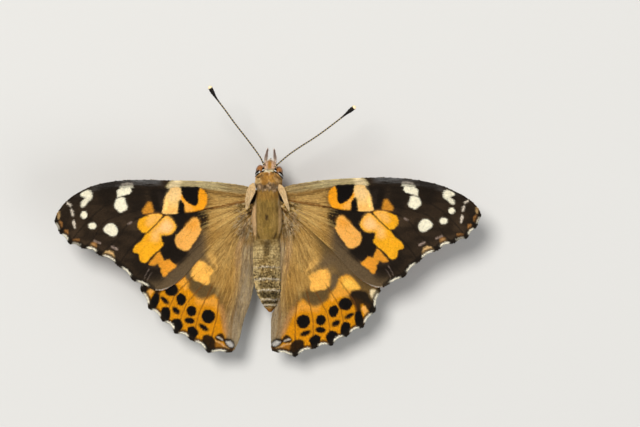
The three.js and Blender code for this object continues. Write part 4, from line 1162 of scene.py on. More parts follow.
def tufts(roots, ways, normals, lengths, widths, rise, colours, uv, rings=((0, 0.7), (0.45, 1)), curl=0.0,
          sunk=0.04):
    """Closed tapering locks of three sides, rooted a little inside the skin. Returns a mesh's parts."""
    count = len(roots)
    ways = unit(ways - normals * np.sum(ways * normals, axis=1, keepdims=True))
    across = np.cross(ways, normals)
    lengths, widths, rise = (np.broadcast_to(value, count)[:, None] for value in (lengths, widths, rise))
    points, patches = [], []
    stations = list(rings) + [(1, 0)]
    for share, wide in stations:
        height = lengths * (rise * share - curl * share ** 2) - sunk * (1 - share)
        centre = roots + ways * lengths * share + normals * height
        if wide == 0:
            points.append(centre[:, None])
            patches.append(np.array([[share - 0.5, 0]]))
            continue
        corners = []
        for turn in (0, 120, 240):
            aside, up = math.sin(math.radians(turn)), math.cos(math.radians(turn))
            corners.append(centre + across * widths * (0.5 * wide * aside)
                           + normals * widths * (0.32 * wide * up))
            patches.append(np.array([[share - 0.5, 0.4 * aside]]))
        points.append(np.stack(corners, axis=1))
    points = np.concatenate(points, axis=1)
    corners = points.shape[1]
    faces = [(0, 1, 2)]
    for ring in range(len(rings) - 1):
        for i in range(3):
            a, b = ring * 3 + i, ring * 3 + (i + 1) % 3
            faces += [(a, a + 3, b + 3), (a, b + 3, b)]
    last = (len(rings) - 1) * 3
    faces += [(last + i, last + 3, last + (i + 1) % 3) for i in range(3)]
    faces = (np.array(faces) + np.arange(count)[:, None, None] * corners).reshape(-1, 3)
    spread = uv[:, None] + np.vstack(patches)[None] * TUFT_PATCH
    shade = np.repeat(colours[:, None], corners, axis=1)
    return points.reshape(-1, 3), faces, shade.reshape(-1, 3), spread.reshape(-1, 2)


def join(parts):
    """Several meshes' points, faces, colours and UV places as one mesh's."""
    points, faces, *rest = zip(*parts)
    starts = np.cumsum([0, *(len(part) for part in points)])
    faces = [part + start for part, start in zip(faces, starts)]
    return [np.vstack(part) for part in (points, faces, *rest)]


def coat(name, slot, *parts):
    return finish_piece(build(name, *join(parts)), slot, FUR)


# Tries at hairs over a wing's outline, and how wide a hair is at shares of its length
WING_HAIR_TRIES = 60000
HAIR_RINGS = ((0, 0.8), (0.35, 1), (0.75, 0.6))


def wing_hairs(wing, side, seed):
    """Fine hair over the root of a wing, and along a hindwing's inner lobe, with darker and paler locks."""
    chart = CHARTS[wing]
    rng = np.random.default_rng(seed)
    plan = rng.uniform(chart.outline.min(axis=0), chart.outline.max(axis=0), (WING_HAIR_TRIES, 2))
    out, forwards = plan.T
    if wing == "fore":
        chance = (1 - smoothstep(5, 8.8, out)) * (0.5 + 0.5 * smoothstep(3, 0, forwards))
    else:
        chance = 1 - smoothstep(5, 8.4, out + 0.25 * np.maximum(-forwards - 6, 0))
    plan = plan[(rng.random(len(plan)) < 0.5 * chance) & inside(plan, chart.outline)]
    way = unit(chart.flow(plan) + rng.normal(0, 0.12, plan.shape))
    length = rng.uniform(0.8, 2.2, len(plan))
    tips = plan + way * length[:, None]
    kept = inside(tips, chart.outline) | ((plan[:, 0] < 4) & (plan[:, 1] > -7))
    if wing == "hind":
        for ends in (plan, tips):
            turned = swing_back(ends, HIND_SWING[side])
            kept &= turned[:, 0] > body_edge(turned[:, 1], side) + 0.1
    plan, way, length = plan[kept], way[kept], length[kept]
    lift, sag = chart.relief(plan)
    middle, normal, tangent = on_wing(wing, side, plan, way, sag)
    roots = middle + normal * (MEMBRANE_HALF + lift)[:, None]
    count = len(plan)
    kind = rng.random(count)
    colours = PAINT[wing, "top"](plan) * rng.normal(1.04, 0.14, (count, 1)).clip(0.6, 1.5)
    colours = washes(colours, (FUR_UMBER, 0.48 * (kind < 0.22)), (FOLD_PALE, 0.4 * (kind > 0.78)))
    width = rng.uniform(0.04, 0.075, count) * np.where(kind < 0.15, 1.4, 1)
    return tufts(roots, tangent, normal, length, width, rng.uniform(0.02, 0.08, count), colours,
                 wing_uv(wing, plan, 0), rings=HAIR_RINGS, curl=0.03)


FRINGE_LENGTH = 0.32
FRINGE_SPACING = 0.035


def wing_fringe(wing, side, seed):
    """The fringe of long scales along the outer margin, pale in the bays and dark at the vein ends."""
    chart = CHARTS[wing]
    rng = np.random.default_rng(seed)
    plan, ways, shades = [], [], []
    for white, edge in zip(FRINGES[wing], chart.margin):
        start, end = edge[0], edge[-1]
        length = np.linalg.norm(end - start)
        share = np.tile(np.arange(0, 1, FRINGE_SPACING / length), 2)
        share = np.clip(share + rng.uniform(-0.02, 0.02, len(share)), 0, 1)
        steps = np.linspace(0, 1, len(edge))
        spots = np.stack([np.interp(share, steps, axis) for axis in edge.T], axis=1)
        outwards = unit(np.array([end[1] - start[1], start[0] - end[0]]))
        if outwards @ (start - HIND_HINGE) < 0:
            outwards = -outwards
        plan.append(spots - outwards * rng.uniform(0.06, 0.2, (len(share), 1)))
        ways.append(unit(outwards + rng.normal(0, 0.16, spots.shape)))
        middle = smoothstep(0.12, 0.28, share) * (1 - smoothstep(0.72, 0.88, share))
        pale = (rng.random(len(share)) < middle * (0.25 + 0.75 * white)) * middle
        shades.append(mix(plain(DARK, share), FRINGE_WHITE, pale * (0.4 + 0.6 * white)))
    plan, ways, shades = (np.vstack(part) for part in (plan, ways, shades))
    _, sag = chart.relief(plan)
    middle, normal, tangent = on_wing(wing, side, plan, ways, sag)
    count = len(plan)
    return tufts(middle, tangent, normal, FRINGE_LENGTH * rng.uniform(0.8, 1.15, count), 0.07,
                 rng.uniform(-0.1, 0.1, count), shades, wing_uv(wing, plan, 0), sunk=0)


# Body: one skin from the tip of the abdomen to the brow, as rows of y, half width, half height,
# and x and z of the axis
BODY = [
    (-12.5, 0.2, 0.2, 0.05, 5.25), (-12.1, 0.55, 0.5, 0.06, 5.28), (-11.6, 0.92, 0.85, 0.05, 5.33),
    (-11, 1.24, 1.15, 0.02, 5.38), (-10.3, 1.54, 1.44, -0.04, 5.45), (-9, 1.9, 1.78, -0.14, 5.57),
    (-7.5, 2.05, 1.88, -0.24, 5.7), (-5.2, 2.06, 1.84, -0.34, 5.91), (-3, 2.02, 1.78, -0.36, 6.1),
    (-2.1, 1.96, 1.7, -0.34, 6.2), (-1.5, 1.84, 1.62, -0.3, 6.3), (-1.05, 1.82, 1.72, -0.26, 6.4),
    (-0.4, 1.98, 1.95, -0.23, THORAX_Z), (0.4, 2.18, 2.2, -0.2, THORAX_Z), (1.4, 2.3, 2.38, -0.2, THORAX_Z),
    (2.6, 2.26, 2.46, -0.18, THORAX_Z), (3.7, 2.06, 2.42, -0.14, THORAX_Z), (4.6, 1.84, 2.22, -0.1, THORAX_Z),
    (5.3, 1.68, 1.94, -0.08, THORAX_Z), (5.85, 1.62, 1.64, -0.04, 6.55), (6.3, 1.72, 1.56, 0, HEAD_Z),
    (6.9, 1.92, 1.56, 0.06, HEAD_Z), (7.4, 2, 1.5, 0.1, HEAD_Z), (7.8, 1.86, 1.4, 0.14, HEAD_Z),
    (8.25, 1.58, 1.38, 0.19, HEAD_Z), (8.7, 1.44, 1.48, 0.25, HEAD_Z), (9.3, 1.3, 1.44, 0.3, HEAD_Z),
    (9.9, 1.02, 1.18, 0.35, HEAD_Z), (10.3, 0.68, 0.8, 0.38, HEAD_Z), (10.46, 0.36, 0.42, 0.4, HEAD_Z),
]
BODY_LINE = smooth_line(BODY, 0.04)
BODY_SIDES = 64
BODY_STEP = 0.09
TAIL_Y = BODY[0][0]
BROW_Y = BODY[-1][0]
RING_BORDERS = np.array([-2.9, -4.2, -5.55, -7.35, -9.02, -10.48, -11.35])


def body_point(y, angle):
    """A point of the skin, at an angle from the right side up over the back."""
    width, height, x, z = (np.interp(y, BODY_LINE[:, 0], BODY_LINE[:, i]) for i in range(1, 5))
    behind = np.min(np.where(y[:, None] <= RING_BORDERS, RING_BORDERS - y[:, None], 9), axis=1)
    ring = np.where(y < -1.4, 1 - 0.055 * (1 - smoothstep(0, 0.35, behind)), 1)
    return np.stack([x + width * ring * np.cos(angle), y, z + height * ring * np.sin(angle)], axis=1)


def body_normal(y, angle):
    here = body_point(y, angle)
    return unit(np.cross(body_point(y, angle + 0.03) - here, here - body_point(y - 0.12, angle)))


def body_uv(y, angle):
    around, along = (angle / (2 * math.pi)) % 1, (y - TAIL_Y) / (BROW_Y - TAIL_Y)
    return np.stack([around, along], axis=1) * 0.94 + 0.03


# Middle, half length and strength of the abdomen's pale rings
RING_LIGHT = [(-5.5, 0.15, 0.6), (-7.32, 0.15, 0.95), (-9, 0.15, 0.85), (-10.45, 0.17, 0.7),
              (-11.3, 0.16, 0.9)]
# Middle, half length, reach to the sides and depth of the dark bands between them
RING_DARK = [(-6.9, 0.36, 1.9, 0.4), (-8.4, 0.42, 1.5, 0.6), (-9.75, 0.5, 1.5, 0.85),
             (-10.88, 0.26, 1.3, 0.95)]


def paint_abdomen(points, across, cloud, grain):
    """Speckled tan fur with dark and pale rings."""
    y, side = points[:, 1], np.abs(across)
    plan = points[:, :2]
    speck = 0.8 * value_noise(plan, (0.17, 0.15), 57) + 0.4 * value_noise(plan, (0.5, 0.11), 60)
    rearwards = 0.55 + 0.45 * smoothstep(-4, -7.5, y)
    colours = washes(
        plain(FUR_TAN, points),
        # Pale straw flanks, partly the fur's own colour and partly painted light that lifts the shade on the
        # curved sides; the left flank is paler still, as painted light from the left
        (FUR_STRAW, smoothstep(0.9, 1.6, side) * np.where(across < 0, 0.8, 0.5)),
        (FUR_STRAW, band(side, 0.85, 0.3, 0.25) * band(y, -3.2, 1.1, 0.5) * 0.6),
        (FUR_BROWN, smoothstep(0.1, 0.9, cloud) * 0.3),
        (FUR_DARK, smoothstep(0.04, 0.4, speck) * 0.85 * rearwards),
        (FUR_STRAW, smoothstep(0.1, 0.5, -speck) * 0.48),
        (FUR_BROWN, band(y, -1.7, 0.55, 0.4) * 0.5),
        (FUR_DARK, band(across, 0.15, 0.5, 0.35) * band(y, -2.1, 0.8, 0.4) * 0.75),
        (FUR_DARK, band(side, 0.15, 0.22, 0.15) * band(y, -3.4, 0.35, 0.25) * 0.6))
    for middle, half, reach, depth in RING_DARK:
        dusky = band(y, middle, half, 0.2) * (1 - smoothstep(reach - 0.5, reach + 0.2, side))
        colours = mix(colours, FUR_SOOT, dusky * np.clip(depth + 0.25 * speck, 0, 1))
    for middle, half, strength in RING_LIGHT:
        ragged = middle + 0.08 * grain - 0.12 * side ** 2 / 3
        colours = washes(
            colours,
            (FUR_DARK, band(y, ragged - half - 0.08, 0.09, 0.08) * band(side, 0.8, 0.7, 0.3) * 0.5),
            (FUR_WHITE, band(y, ragged, half * 0.7, 0.1) * strength * (0.75 + 0.25 * grain)))
    return mix(colours, TAIL_RUST, 1 - smoothstep(-12, -11.6, y))


def paint_thorax(points, across, cloud):
    """Olive and golden fur with dark lines, and a pale rosy border on each side; painted light makes the left
    border paler and painted shade darkens the right half.
    """
    x, y, _ = points.T
    side = np.abs(across)
    streak = value_noise(np.stack([x + 21, y], axis=1), (0.2, 1.1), 58)
    border = band(y, 1.2, 2.8, 0.6)
    return washes(
        plain(FUR_OLIVE, points),
        (FUR_BROWN, smoothstep(-0.1, 0.7, cloud) * 0.75),
        (FUR_GOLD, smoothstep(0.1, 0.8, -cloud) * 0.5),
        (FUR_GOLD, band(side, 1.25, 0.3, 0.25) * 0.45),
        # The rosy border is stronger on the left as painted light, and brown over the right half is painted
        # shade
        (FUR_BLUSH, smoothstep(1.45, 1.75, -across) * border * 0.88),
        (FUR_BLUSH, smoothstep(1.6, 1.9, across) * border * 0.5),
        (FUR_BROWN, smoothstep(0.2, 1, across) * (1 - smoothstep(1.4, 1.8, across)) * 0.4),
        (FUR_BROWN, (1 - smoothstep(-1, -0.2, y)) * 0.6),
        (FUR_DARK, band(side, 1.5, 0.09, 0.12) * band(y, 1.5, 2.4, 0.8) * 0.5),
        (FUR_GREY, band(side, 1.72, 0.1, 0.1) * band(y, 4.7, 0.8, 0.4) * 0.6),
        (FUR_DARK, smoothstep(0.3, 0.9, streak) * 0.28),
        (FUR_GOLD, smoothstep(0.3, 0.9, -streak) * 0.35),
        (FUR_RUST, band(y, 5.4, 0.7, 0.4) * 0.45),
        (FUR_BROWN, band(across, 0, 0.6, 0.4) * band(y, 2.1, 1.2, 0.7) * 0.5),
        (FUR_DARK, band(across, 0, 0.24, 0.14) * band(y, 2, 0.42, 0.25) * 0.95),
        (FUR_DARK, band(side, 1.2 + 0.35 * (y + 1), 0.15, 0.12) * band(y, -0.9, 0.55, 0.3) * 0.8))


def paint_neck(points, across, tangle):
    """Mottled mauve fur, then the rusty collar, the crown between the eyes, and the rosy brow; the collar has
    painted light on its left side and painted shade on its right.
    """
    y, plan, side = points[:, 1], points[:, :2], np.abs(across)
    mottled = value_noise(plan, 0.38, 54)
    collar = washes(
        plain(FUR_RUST, points),
        (FUR_PEACH, smoothstep(0.8, 1.4, side) * (1 - smoothstep(7.5, 8, y))),
        (COLLAR_DARK, band(side, 0, 0.5, 0.2) * band(y, 8.6, 0.2, 0.1) * 0.9),
        # Painted light: straw over the collar's left side; painted shade: brown over its right side
        (FUR_STRAW, smoothstep(0.9, 1.5, -across) * 0.6),
        (FUR_BROWN, smoothstep(0.5, 1.2, across) * 0.6),
        (COLLAR_BROWN, smoothstep(0, 0.7, tangle) * 0.6),
        (FUR_PEACH, smoothstep(0.15, 0.8, -tangle) * 0.7))
    arch = 9.0 - 0.28 * side ** 2
    crown = washes(
        plain(CROWN_GREY, points),
        (FUR_RUST, 1 - smoothstep(arch - 0.16, arch - 0.08, y)),
        (CROWN_ARCH, band(side, 0, 0.95, 0.2) * band(y, arch, 0.09, 0.06) * 0.75),
        (FUR_WHITE, smoothstep(0.1, 0.6, value_noise(plan, 0.3, 55)) * 0.7),
        (FUR_DARK, smoothstep(0.1, 0.5, value_noise(plan, 0.35, 56)) * 0.8))
    brow = smoothstep(9.2, 9.4, y)
    return washes(
        plain(FUR_MAUVE, points),
        (FUR_PINK, smoothstep(0.1, 0.7, value_noise(plan, 0.4, 53)) * 0.6),
        (FUR_DARK, smoothstep(0.15, 0.5, mottled) * 0.85),
        (FUR_GREY, smoothstep(0.3, 0.7, -mottled) * 0.5),
        (collar, smoothstep(6.8, 7.4, y + 0.3 * tangle)),
        (crown, smoothstep(8.62, 8.74, y)),
        (FUR_ROSY, brow * 0.9),
        (FUR_RUST, brow * (1 - smoothstep(0.2, 0.36, side))))


def paint_body(points, angle):
    """The abdomen's, thorax's and neck's colours where each belongs, paler below."""
    x, y, _ = points.T
    across = x - np.interp(y, BODY_LINE[:, 0], BODY_LINE[:, 3])
    grain = value_noise(np.stack([x * 1.4 + 40, y], axis=1), (0.22, 0.5), 51)
    cloud = value_noise(np.stack([x + 9, y], axis=1), 0.8, 52)
    tangle = value_noise(np.stack([x + 31, y], axis=1), (0.24, 0.5), 59)
    colours = washes(
        paint_abdomen(points, across, cloud, grain),
        (paint_thorax(points, across, cloud), smoothstep(-1.45, -1.25, y)),
        (paint_neck(points, across, tangle), smoothstep(5.75, 6.15, y + 0.25 * tangle)),
        (FUR_WHITE, smoothstep(0.1, 0.6, -np.sin(angle)) * 0.75))
    return colours * (1 + 0.16 * grain)[:, None]


def body_skin():
    stops = np.arange(TAIL_Y, BROW_Y, BODY_STEP)
    turns = np.arange(BODY_SIDES) / BODY_SIDES * 2 * math.pi
    y, angle = (grid.ravel() for grid in np.meshgrid(stops, turns, indexing="ij"))
    points = body_point(y, angle)
    ends = [ring.mean(axis=0) for ring in (points[:BODY_SIDES], points[-BODY_SIDES:])]
    points = np.vstack([points, *ends])
    angle = np.append(angle, [math.pi / 2] * 2)
    piece = build("body_skin", points, ring_faces(len(stops), BODY_SIDES), paint_body(points, angle))
    return finish_piece(piece, "thorax_hair", BODY_SKIN, "head", "prothorax", "thorax", "abdomen")


# How wide a tuft is at shares of its length, for scales and for long hair
SHORT_RINGS = ((0, 0.7), (0.4, 1))
LONG_RINGS = ((0, 0.8), (0.3, 1), (0.7, 0.7))
# Each coat's batches of tufts: from which Y to which, how many to a square millimetre, their length,
# width, rise, spread and curl, whether they lie backwards or forwards, and their shape
BODY_COATS = {
    ("abdomen_coat", "abdomen_scales"): [
        (-11.9, -1.5, 85, 0.36, 0.11, 0.12, 0.2, 0, -1, SHORT_RINGS),
        (-2.4, -0.7, 60, 0.7, 0.07, 0.22, 0.2, 0, -1, LONG_RINGS)],
    ("thorax_coat", "thorax_hair"): [
        (-0.9, 5.9, 75, 0.62, 0.075, 0.16, 0.16, 0.05, -1, LONG_RINGS),
        (-0.9, 5.5, 16, 1.05, 0.06, 0.24, 0.22, 0.1, -1, LONG_RINGS)],
    ("collar_coat", "collar_hair"): [
        (5.75, 7.3, 85, 0.5, 0.09, 0.3, 0.3, 0, -1, SHORT_RINGS),
        (7.1, 8.7, 95, 0.8, 0.075, 0.42, 0.25, 0.15, -1, LONG_RINGS)],
    ("head_coat", "head_hair"): [
        (8.55, 9.5, 100, 0.32, 0.07, 0.3, 0.5, 0, -1, SHORT_RINGS),
        (9.2, 10.44, 120, 0.75, 0.07, 0.45, 0.25, 0.1, 1, LONG_RINGS),
        (10.2, 10.45, 420, 0.45, 0.07, 0.5, 0.5, 0.1, 1, LONG_RINGS)],
}


def body_tufts(rng, start, end, per_mm2, length, width, rise, spread, curl, forwards, rings):
    """Tufts scattered evenly over the skin between two Y."""
    widest = np.max(np.interp(np.linspace(start, end, 20), BODY_LINE[:, 0], BODY_LINE[:, 1]))
    tries = int(per_mm2 * 2 * math.pi * widest * (end - start))
    y, angle = rng.uniform(start, end, tries), rng.uniform(0, 2 * math.pi, tries)
    kept = rng.random(tries) < np.interp(y, BODY_LINE[:, 0], BODY_LINE[:, 1]) / widest
    y, angle = y[kept], angle[kept]
    count = len(y)
    points, normals = body_point(y, angle), body_normal(y, angle)
    aside, up = rng.normal(0, spread, (2, count))
    ways = np.stack([aside, np.full(count, forwards), up], axis=1)
    shades = paint_body(points, angle) * rng.normal(1.02, 0.12, (count, 1)).clip(0.65, 1.4)
    lengths = length * rng.uniform(0.7, 1.3, count) * (1 + 0.4 * smoothstep(0, 0.7, -np.sin(angle)))
    return tufts(points, ways, normals, lengths, width * rng.uniform(0.75, 1.25, count),
                 rise * rng.uniform(0.5, 1.5, count), shades, body_uv(y, angle), rings, curl)


def body_coats():
    rng = np.random.default_rng(SEEDS["body"])
    for (name, slot), batches in BODY_COATS.items():
        parts = [body_tufts(rng, *batch) for batch in batches]
        if name == "head_coat":
            parts += eye_rims(rng)
        coat(name, slot, *parts)


def head_surface(x, y):
    """The height, in the head's frame, of what a line of scales lies on: the eye or the head's skin."""
    near_x, near_y, near_z = EYE_AT
    bulge = 1 - ((abs(x) - near_x) / EYE_SIZE[0]) ** 2 - ((y - near_y) / EYE_SIZE[1]) ** 2
    lens = near_z + EYE_SIZE[2] * math.sqrt(max(bulge, 0))
    at = head_point(x, y, 0)
    width, height, middle = (np.interp(at[1], BODY_LINE[:, 0], BODY_LINE[:, i]) for i in (1, 2, 3))
    skin = height * math.sqrt(max(1 - ((at[0] - middle) / width) ** 2, 0))
    return max(lens, skin)


# Lines of scales across each eye: how far back of the first each lies, and its colour
EYE_LINES = [(-0.25, BLACK), (-0.16, BLACK), (-0.07, BLACK), (0.02, BLACK), (0.07, EYE_WHITE),
             (0.13, EYE_WHITE), (0.23, BLACK), (0.32, BLACK)]
EYE_LINE = [(0.72, 0.46), (1.25, 0.16), (1.7, -0.16), (2.06, -0.5)]
EYE_LINE_COUNT = 60
# How far behind that line the fur reaches over the eye, and how many tufts it has
EYE_FUR = (0.34, 1.15)
EYE_FUR_COUNT = 620


def eye_rims(rng):
    """The white line edged with black that crosses each eye, and the fur that covers its rear."""
    rims = []
    crossing = smooth_line(EYE_LINE, count=EYE_LINE_COUNT)
    for sign in SIDES.values():
        rows = [(crossing - (0, back), plain(shade, crossing), (0.9, -0.5), 0.06, 0.26)
                for back, shade in EYE_LINES]
        rear = crossing[rng.integers(0, EYE_LINE_COUNT, EYE_FUR_COUNT)]
        rear = rear - np.stack([np.zeros(EYE_FUR_COUNT), rng.uniform(*EYE_FUR, EYE_FUR_COUNT)], axis=1)
        furry = mix(plain(FUR_RUST, rear), FUR_PEACH, rng.random(EYE_FUR_COUNT))
        rows.append((rear, furry, (0.25, -1), 0.22, 0.4))
        for plan, shades, (outwards, forwards), rise, length in rows:
            roots = np.array([head_point(sign * x, y, head_surface(sign * x, y) + 0.02) for x, y in plan])
            ways = plain((sign * outwards, forwards, 0), roots) + rng.normal(0, 0.14, roots.shape)
            normals = unit(roots - head_point(sign * 0.8, 0, -0.6))
            angle = np.arctan2(roots[:, 2] - HEAD_Z, roots[:, 0] - HEAD_X)
            shades = shades * rng.normal(1, 0.12, (len(roots), 1)).clip(0.6, 1.4)
            rims.append(tufts(roots, ways, normals, length, 0.08, rise, shades, body_uv(roots[:, 1], angle)))
    return rims


EYE_ROWS = 58
EYE_COLUMNS = 80


def eye(side):
    """A compound eye, brown with amber towards its front and dark patches."""
    tilt = np.linspace(0, math.pi, EYE_ROWS + 2)[1:-1]
    turn = np.arange(EYE_COLUMNS) / EYE_COLUMNS * 2 * math.pi
    tilt, turn = (grid.ravel() for grid in np.meshgrid(tilt, turn, indexing="ij"))
    ball = np.stack([np.sin(tilt) * np.cos(turn), np.sin(tilt) * np.sin(turn), np.cos(tilt)], axis=1)
    ball = np.vstack([ball, (0, 0, 1), (0, 0, -1)])
    x, y, z = EYE_AT
    points = np.array([head_point(SIDES[side] * x + px, y + py, z + pz) for px, py, pz in ball * EYE_SIZE])
    colours = washes(
        plain(EYE_BROWN, ball),
        (EYE_AMBER, smoothstep(0.1, 0.8, ball[:, 1] + 0.3 * ball[:, 2]) * 0.8),
        (EYE_DARK, smoothstep(0.15, 0.55, value_noise(ball[:, 1:] * 4 + 7, 1.1, 71)) * 0.7))
    piece = build(f"eye_{side}_lens", points, ring_faces(EYE_ROWS, EYE_COLUMNS), colours)
    return finish_piece(piece, "compound_eye", EYE_SURFACE, f"eye_{side}")


# Tubes, for everything long and thin
def tube(path, radii, sides=12, flat=1.0):
    """A closed tube along a path. Returns points, faces and each point's place along it."""
    way = unit(np.gradient(path, axis=0))
    across = np.cross(way, [0, 0, 1])
    across[np.linalg.norm(across, axis=1) < 0.05] = (1, 0, 0)
    across = unit(across)
    rise = np.cross(across, way)
    turns = np.arange(sides) / sides * 2 * math.pi
    radii = np.broadcast_to(radii, len(path))[:, None, None]
    rings = path[:, None] + radii * (across[:, None] * np.cos(turns)[None, :, None]
                                     + flat * rise[:, None] * np.sin(turns)[None, :, None])
    points = np.vstack([rings.reshape(-1, 3), path[0], path[-1]])
    share = np.concatenate([np.repeat(np.linspace(0, 1, len(path)), sides), [0, 1]])
    return points, ring_faces(len(path), sides)[:, ::-1], share


def core(node, part, slot, material, path, radii, sides, paint, flat=1.0):
    """A tube that stands for one solid, painted by the place along it."""
    points, faces, share = tube(path, radii, sides, flat)
    return finish_piece(build(f"{node}_{part}", points, faces, paint(share)), slot, material, node)


def resampled(values, count):
    """Evenly spaced values as more of them."""
    return np.interp(np.linspace(0, 1, count), np.linspace(0, 1, len(values)), values)


def line_tufts(path, radii, per_mm, rng, length, width, rise, shade, spread=0.25, flat=1.0):
    """Tufts all round a tube, lying along it towards its end."""
    run = run_along(path)
    count = int(per_mm * run[-1])
    stops = rng.uniform(0, run[-1], count)
    centre, way = (np.stack([np.interp(stops, run, axis) for axis in line.T], axis=1)
                   for line in (path, np.gradient(path, axis=0)))
    way = unit(way)
    across = unit(np.cross(way, [0.01, 0, 1]))
    up = np.cross(across, way)
    turn = rng.uniform(0, 2 * math.pi, count)
    outwards = across * np.cos(turn)[:, None] + up * (flat * np.sin(turn))[:, None]
    normals = unit(across * (flat * np.cos(turn))[:, None] + up * np.sin(turn)[:, None])
    reach = np.interp(stops, run, np.broadcast_to(radii, len(path)))
    lies = way + rng.normal(0, spread, way.shape)
    uv = np.stack([0.03 + 0.94 * turn / (2 * math.pi), 0.03 + 0.94 * stops / run[-1]], axis=1)
    shades = shade(stops / run[-1], normals) * rng.normal(1, 0.12, (count, 1)).clip(0.6, 1.4)
    return tufts(centre + outwards * reach[:, None], lies, normals, length * rng.uniform(0.7, 1.3, count),
                 width, rise * rng.uniform(0.4, 1.6, count), shades, uv, HAIR_RINGS)


def blend(low, high, rng):
    """A shade for tufts, anywhere between two colours."""
    return lambda share, normals: mix(plain(low, share), high, rng.random(len(share)))


ANTENNA_LIFT = math.radians(18)
ANTENNA_ROOT_RISE = 1.75
ANTENNAE = {
    "right": [(1.15, 9.6), (3.1, 11.2), (4.8, 12.35), (7.57, 14.05), (10.4, 16.05), (13.4, 18.35)],
    "left": [(-0.5, 9.95), (-1.2, 11.3), (-2.9, 13.7), (-4.6, 15.95), (-6.15, 18.15),
             (-7.55, 20.1), (-8.42, 21.7)],
}
ANTENNA_SEGMENT = 0.45
# Half widths of the club and shaft by the distance to the tip, and how far the tip's rounding reaches
CLUB_TABLE = [(0, 0.28), (0.35, 0.33), (1.1, 0.31), (1.7, 0.2), (2.4, 0.13), (3.2, 0.115)]
CLUB_ROUND = 0.28


def antenna(side):
    """A feeler: a thin shaft of short ringed joints, and a club with a pale tip."""
    plan = np.array(ANTENNAE[side], float)
    height = HEAD_Z + ANTENNA_ROOT_RISE + np.linalg.norm(plan - plan[0], axis=1) * math.tan(ANTENNA_LIFT)
    path = smooth_line(np.column_stack([plan, height]), 0.06)
    run = run_along(path)
    left = run[-1] - run
    joint = np.abs((run / ANTENNA_SEGMENT) % 1 - 0.5)
    radii = np.interp(left, *np.array(CLUB_TABLE).T) * (1 + 0.07 * np.cos(joint * 2 * math.pi))
    rounding = np.sqrt(np.clip(1 - (1 - left / CLUB_ROUND) ** 2, 0.02, 1))
    radii = np.where(left < CLUB_ROUND, radii * rounding, radii)
    radii = np.where(run < 0.5, radii * (1.35 - 0.7 * run), radii)

    def paint(share):
        gap, end = (np.interp(share, np.linspace(0, 1, len(path)), value) for value in (joint, left))
        pale = (1 - smoothstep(0.09, 0.15, gap)) * smoothstep(2.3, 3, end)
        return washes(
            plain(FEELER_BLACK, share),
            (FEELER_PALE, pale * 0.85),
            (BLACK, 1 - smoothstep(1.9, 2.6, end)),
            (CLUB_TIP, 1 - smoothstep(0.26, 0.4, end)))
    return core(f"antenna_{side}", "shaft", "antenna_scales", FEELER, path, radii, 14, paint)


PALP = [(0.72, 1.35, -1.5), (0.7, 2.1, -1.1), (0.6, 2.8, -0.3), (0.5, 3.4, 0.5)]
PALP_RADII = [0.18, 0.2, 0.19, 0.15, 0.1, 0.03]


def palp(side):
    """A palp beside the tongue, mauve above and pale below, with short hair."""
    rng = np.random.default_rng(SEEDS["palp"])
    path = smooth_line([head_point(SIDES[side] * x, y, z) for x, y, z in PALP], count=40)
    radii = resampled(PALP_RADII, 40)

    def paint(share):
        return mix(plain(PALP_MAUVE, share), PALP_PALE, 1 - smoothstep(0.2, 0.6, share))

    def shade(share, normals):
        return mix(plain(PALP_PALE, share), PALP_MAUVE,
                   smoothstep(-0.3, 0.4, normals[:, 2]) * (0.5 + 0.5 * share))
    core(f"palp_{side}", "core", "palp_hair", BODY_SKIN, path, radii, 14, paint)
    coat(f"palp_{side}_coat", "palp_hair", line_tufts(path, radii, 190, rng, 0.4, 0.05, 0.16, shade, 0.12))


COIL = {"y": 1.6, "z": -2.1, "inner": 0.12, "outer": 0.66, "turns": 1.4, "start": math.radians(150)}
COIL_STEPS = 90


def proboscis():
    """The tongue, coiled between the palps."""
    share = np.linspace(0, 1, COIL_STEPS)
    turn = COIL["start"] + share * COIL["turns"] * 2 * math.pi
    reach = COIL["outer"] + (COIL["inner"] - COIL["outer"]) * share
    path = np.array([head_point(0, COIL["y"] + r * math.cos(t), COIL["z"] + r * math.sin(t))
                     for r, t in zip(reach, turn)])
    radii = 0.17 * (1 - 0.45 * share) * (1 + 0.05 * np.cos(np.arange(COIL_STEPS) * 2.1))
    return core("proboscis", "coil", "proboscis_chitin", CHITIN, path, radii, 12,
                lambda places: plain(TONGUE_BROWN, places))


# Each plate's line as outwards, forwards and up, and its half widths from the front to its tip
TEGULAE = {
    "left": ([(2.14, 7.15, 7.75), (2.36, 6.4, 8.4), (2.66, 5.5, 8.75), (2.94, 4.6, 8.8), (3.14, 3.7, 8.65)],
             [0.14, 0.5, 0.58, 0.5, 0.38, 0.22, 0.05]),
    "right": ([(1.76, 6.9, 7.8), (2.02, 6.3, 8.4), (2.35, 5.5, 8.75), (2.7, 4.4, 8.8), (3.04, 3.4, 8.65)],
              [0.12, 0.42, 0.42, 0.33, 0.26, 0.17, 0.04]),
}
TEGULA_FLAT = 0.4


def tegula(side):
    """The plate over a forewing's root, with long pale scales that lie back along it."""
    rng = np.random.default_rng(SEEDS["tegula"])
    stations, widths = TEGULAE[side]
    path = smooth_line([(SIDES[side] * x, y, z) for x, y, z in stations], count=50)
    radii = resampled(widths, 50)

    def shade(share, normals):
        front = 0.45 * (1 - smoothstep(0.1, 0.45, share))
        return mix(plain(TEGULA_CREAM, share), TEGULA_ROSY, np.minimum(1, rng.random(len(share)) + front))
    core(f"tegula_{side}", "plate", "tegula_scales", BODY_SKIN, path, radii, 18,
         lambda share: plain(TEGULA_ROSY, share), TEGULA_FLAT)
    coat(f"tegula_{side}_coat", "tegula_scales",
         line_tufts(path, radii, 420, rng, 0.55, 0.08, 0.05, shade, 0.14, TEGULA_FLAT))


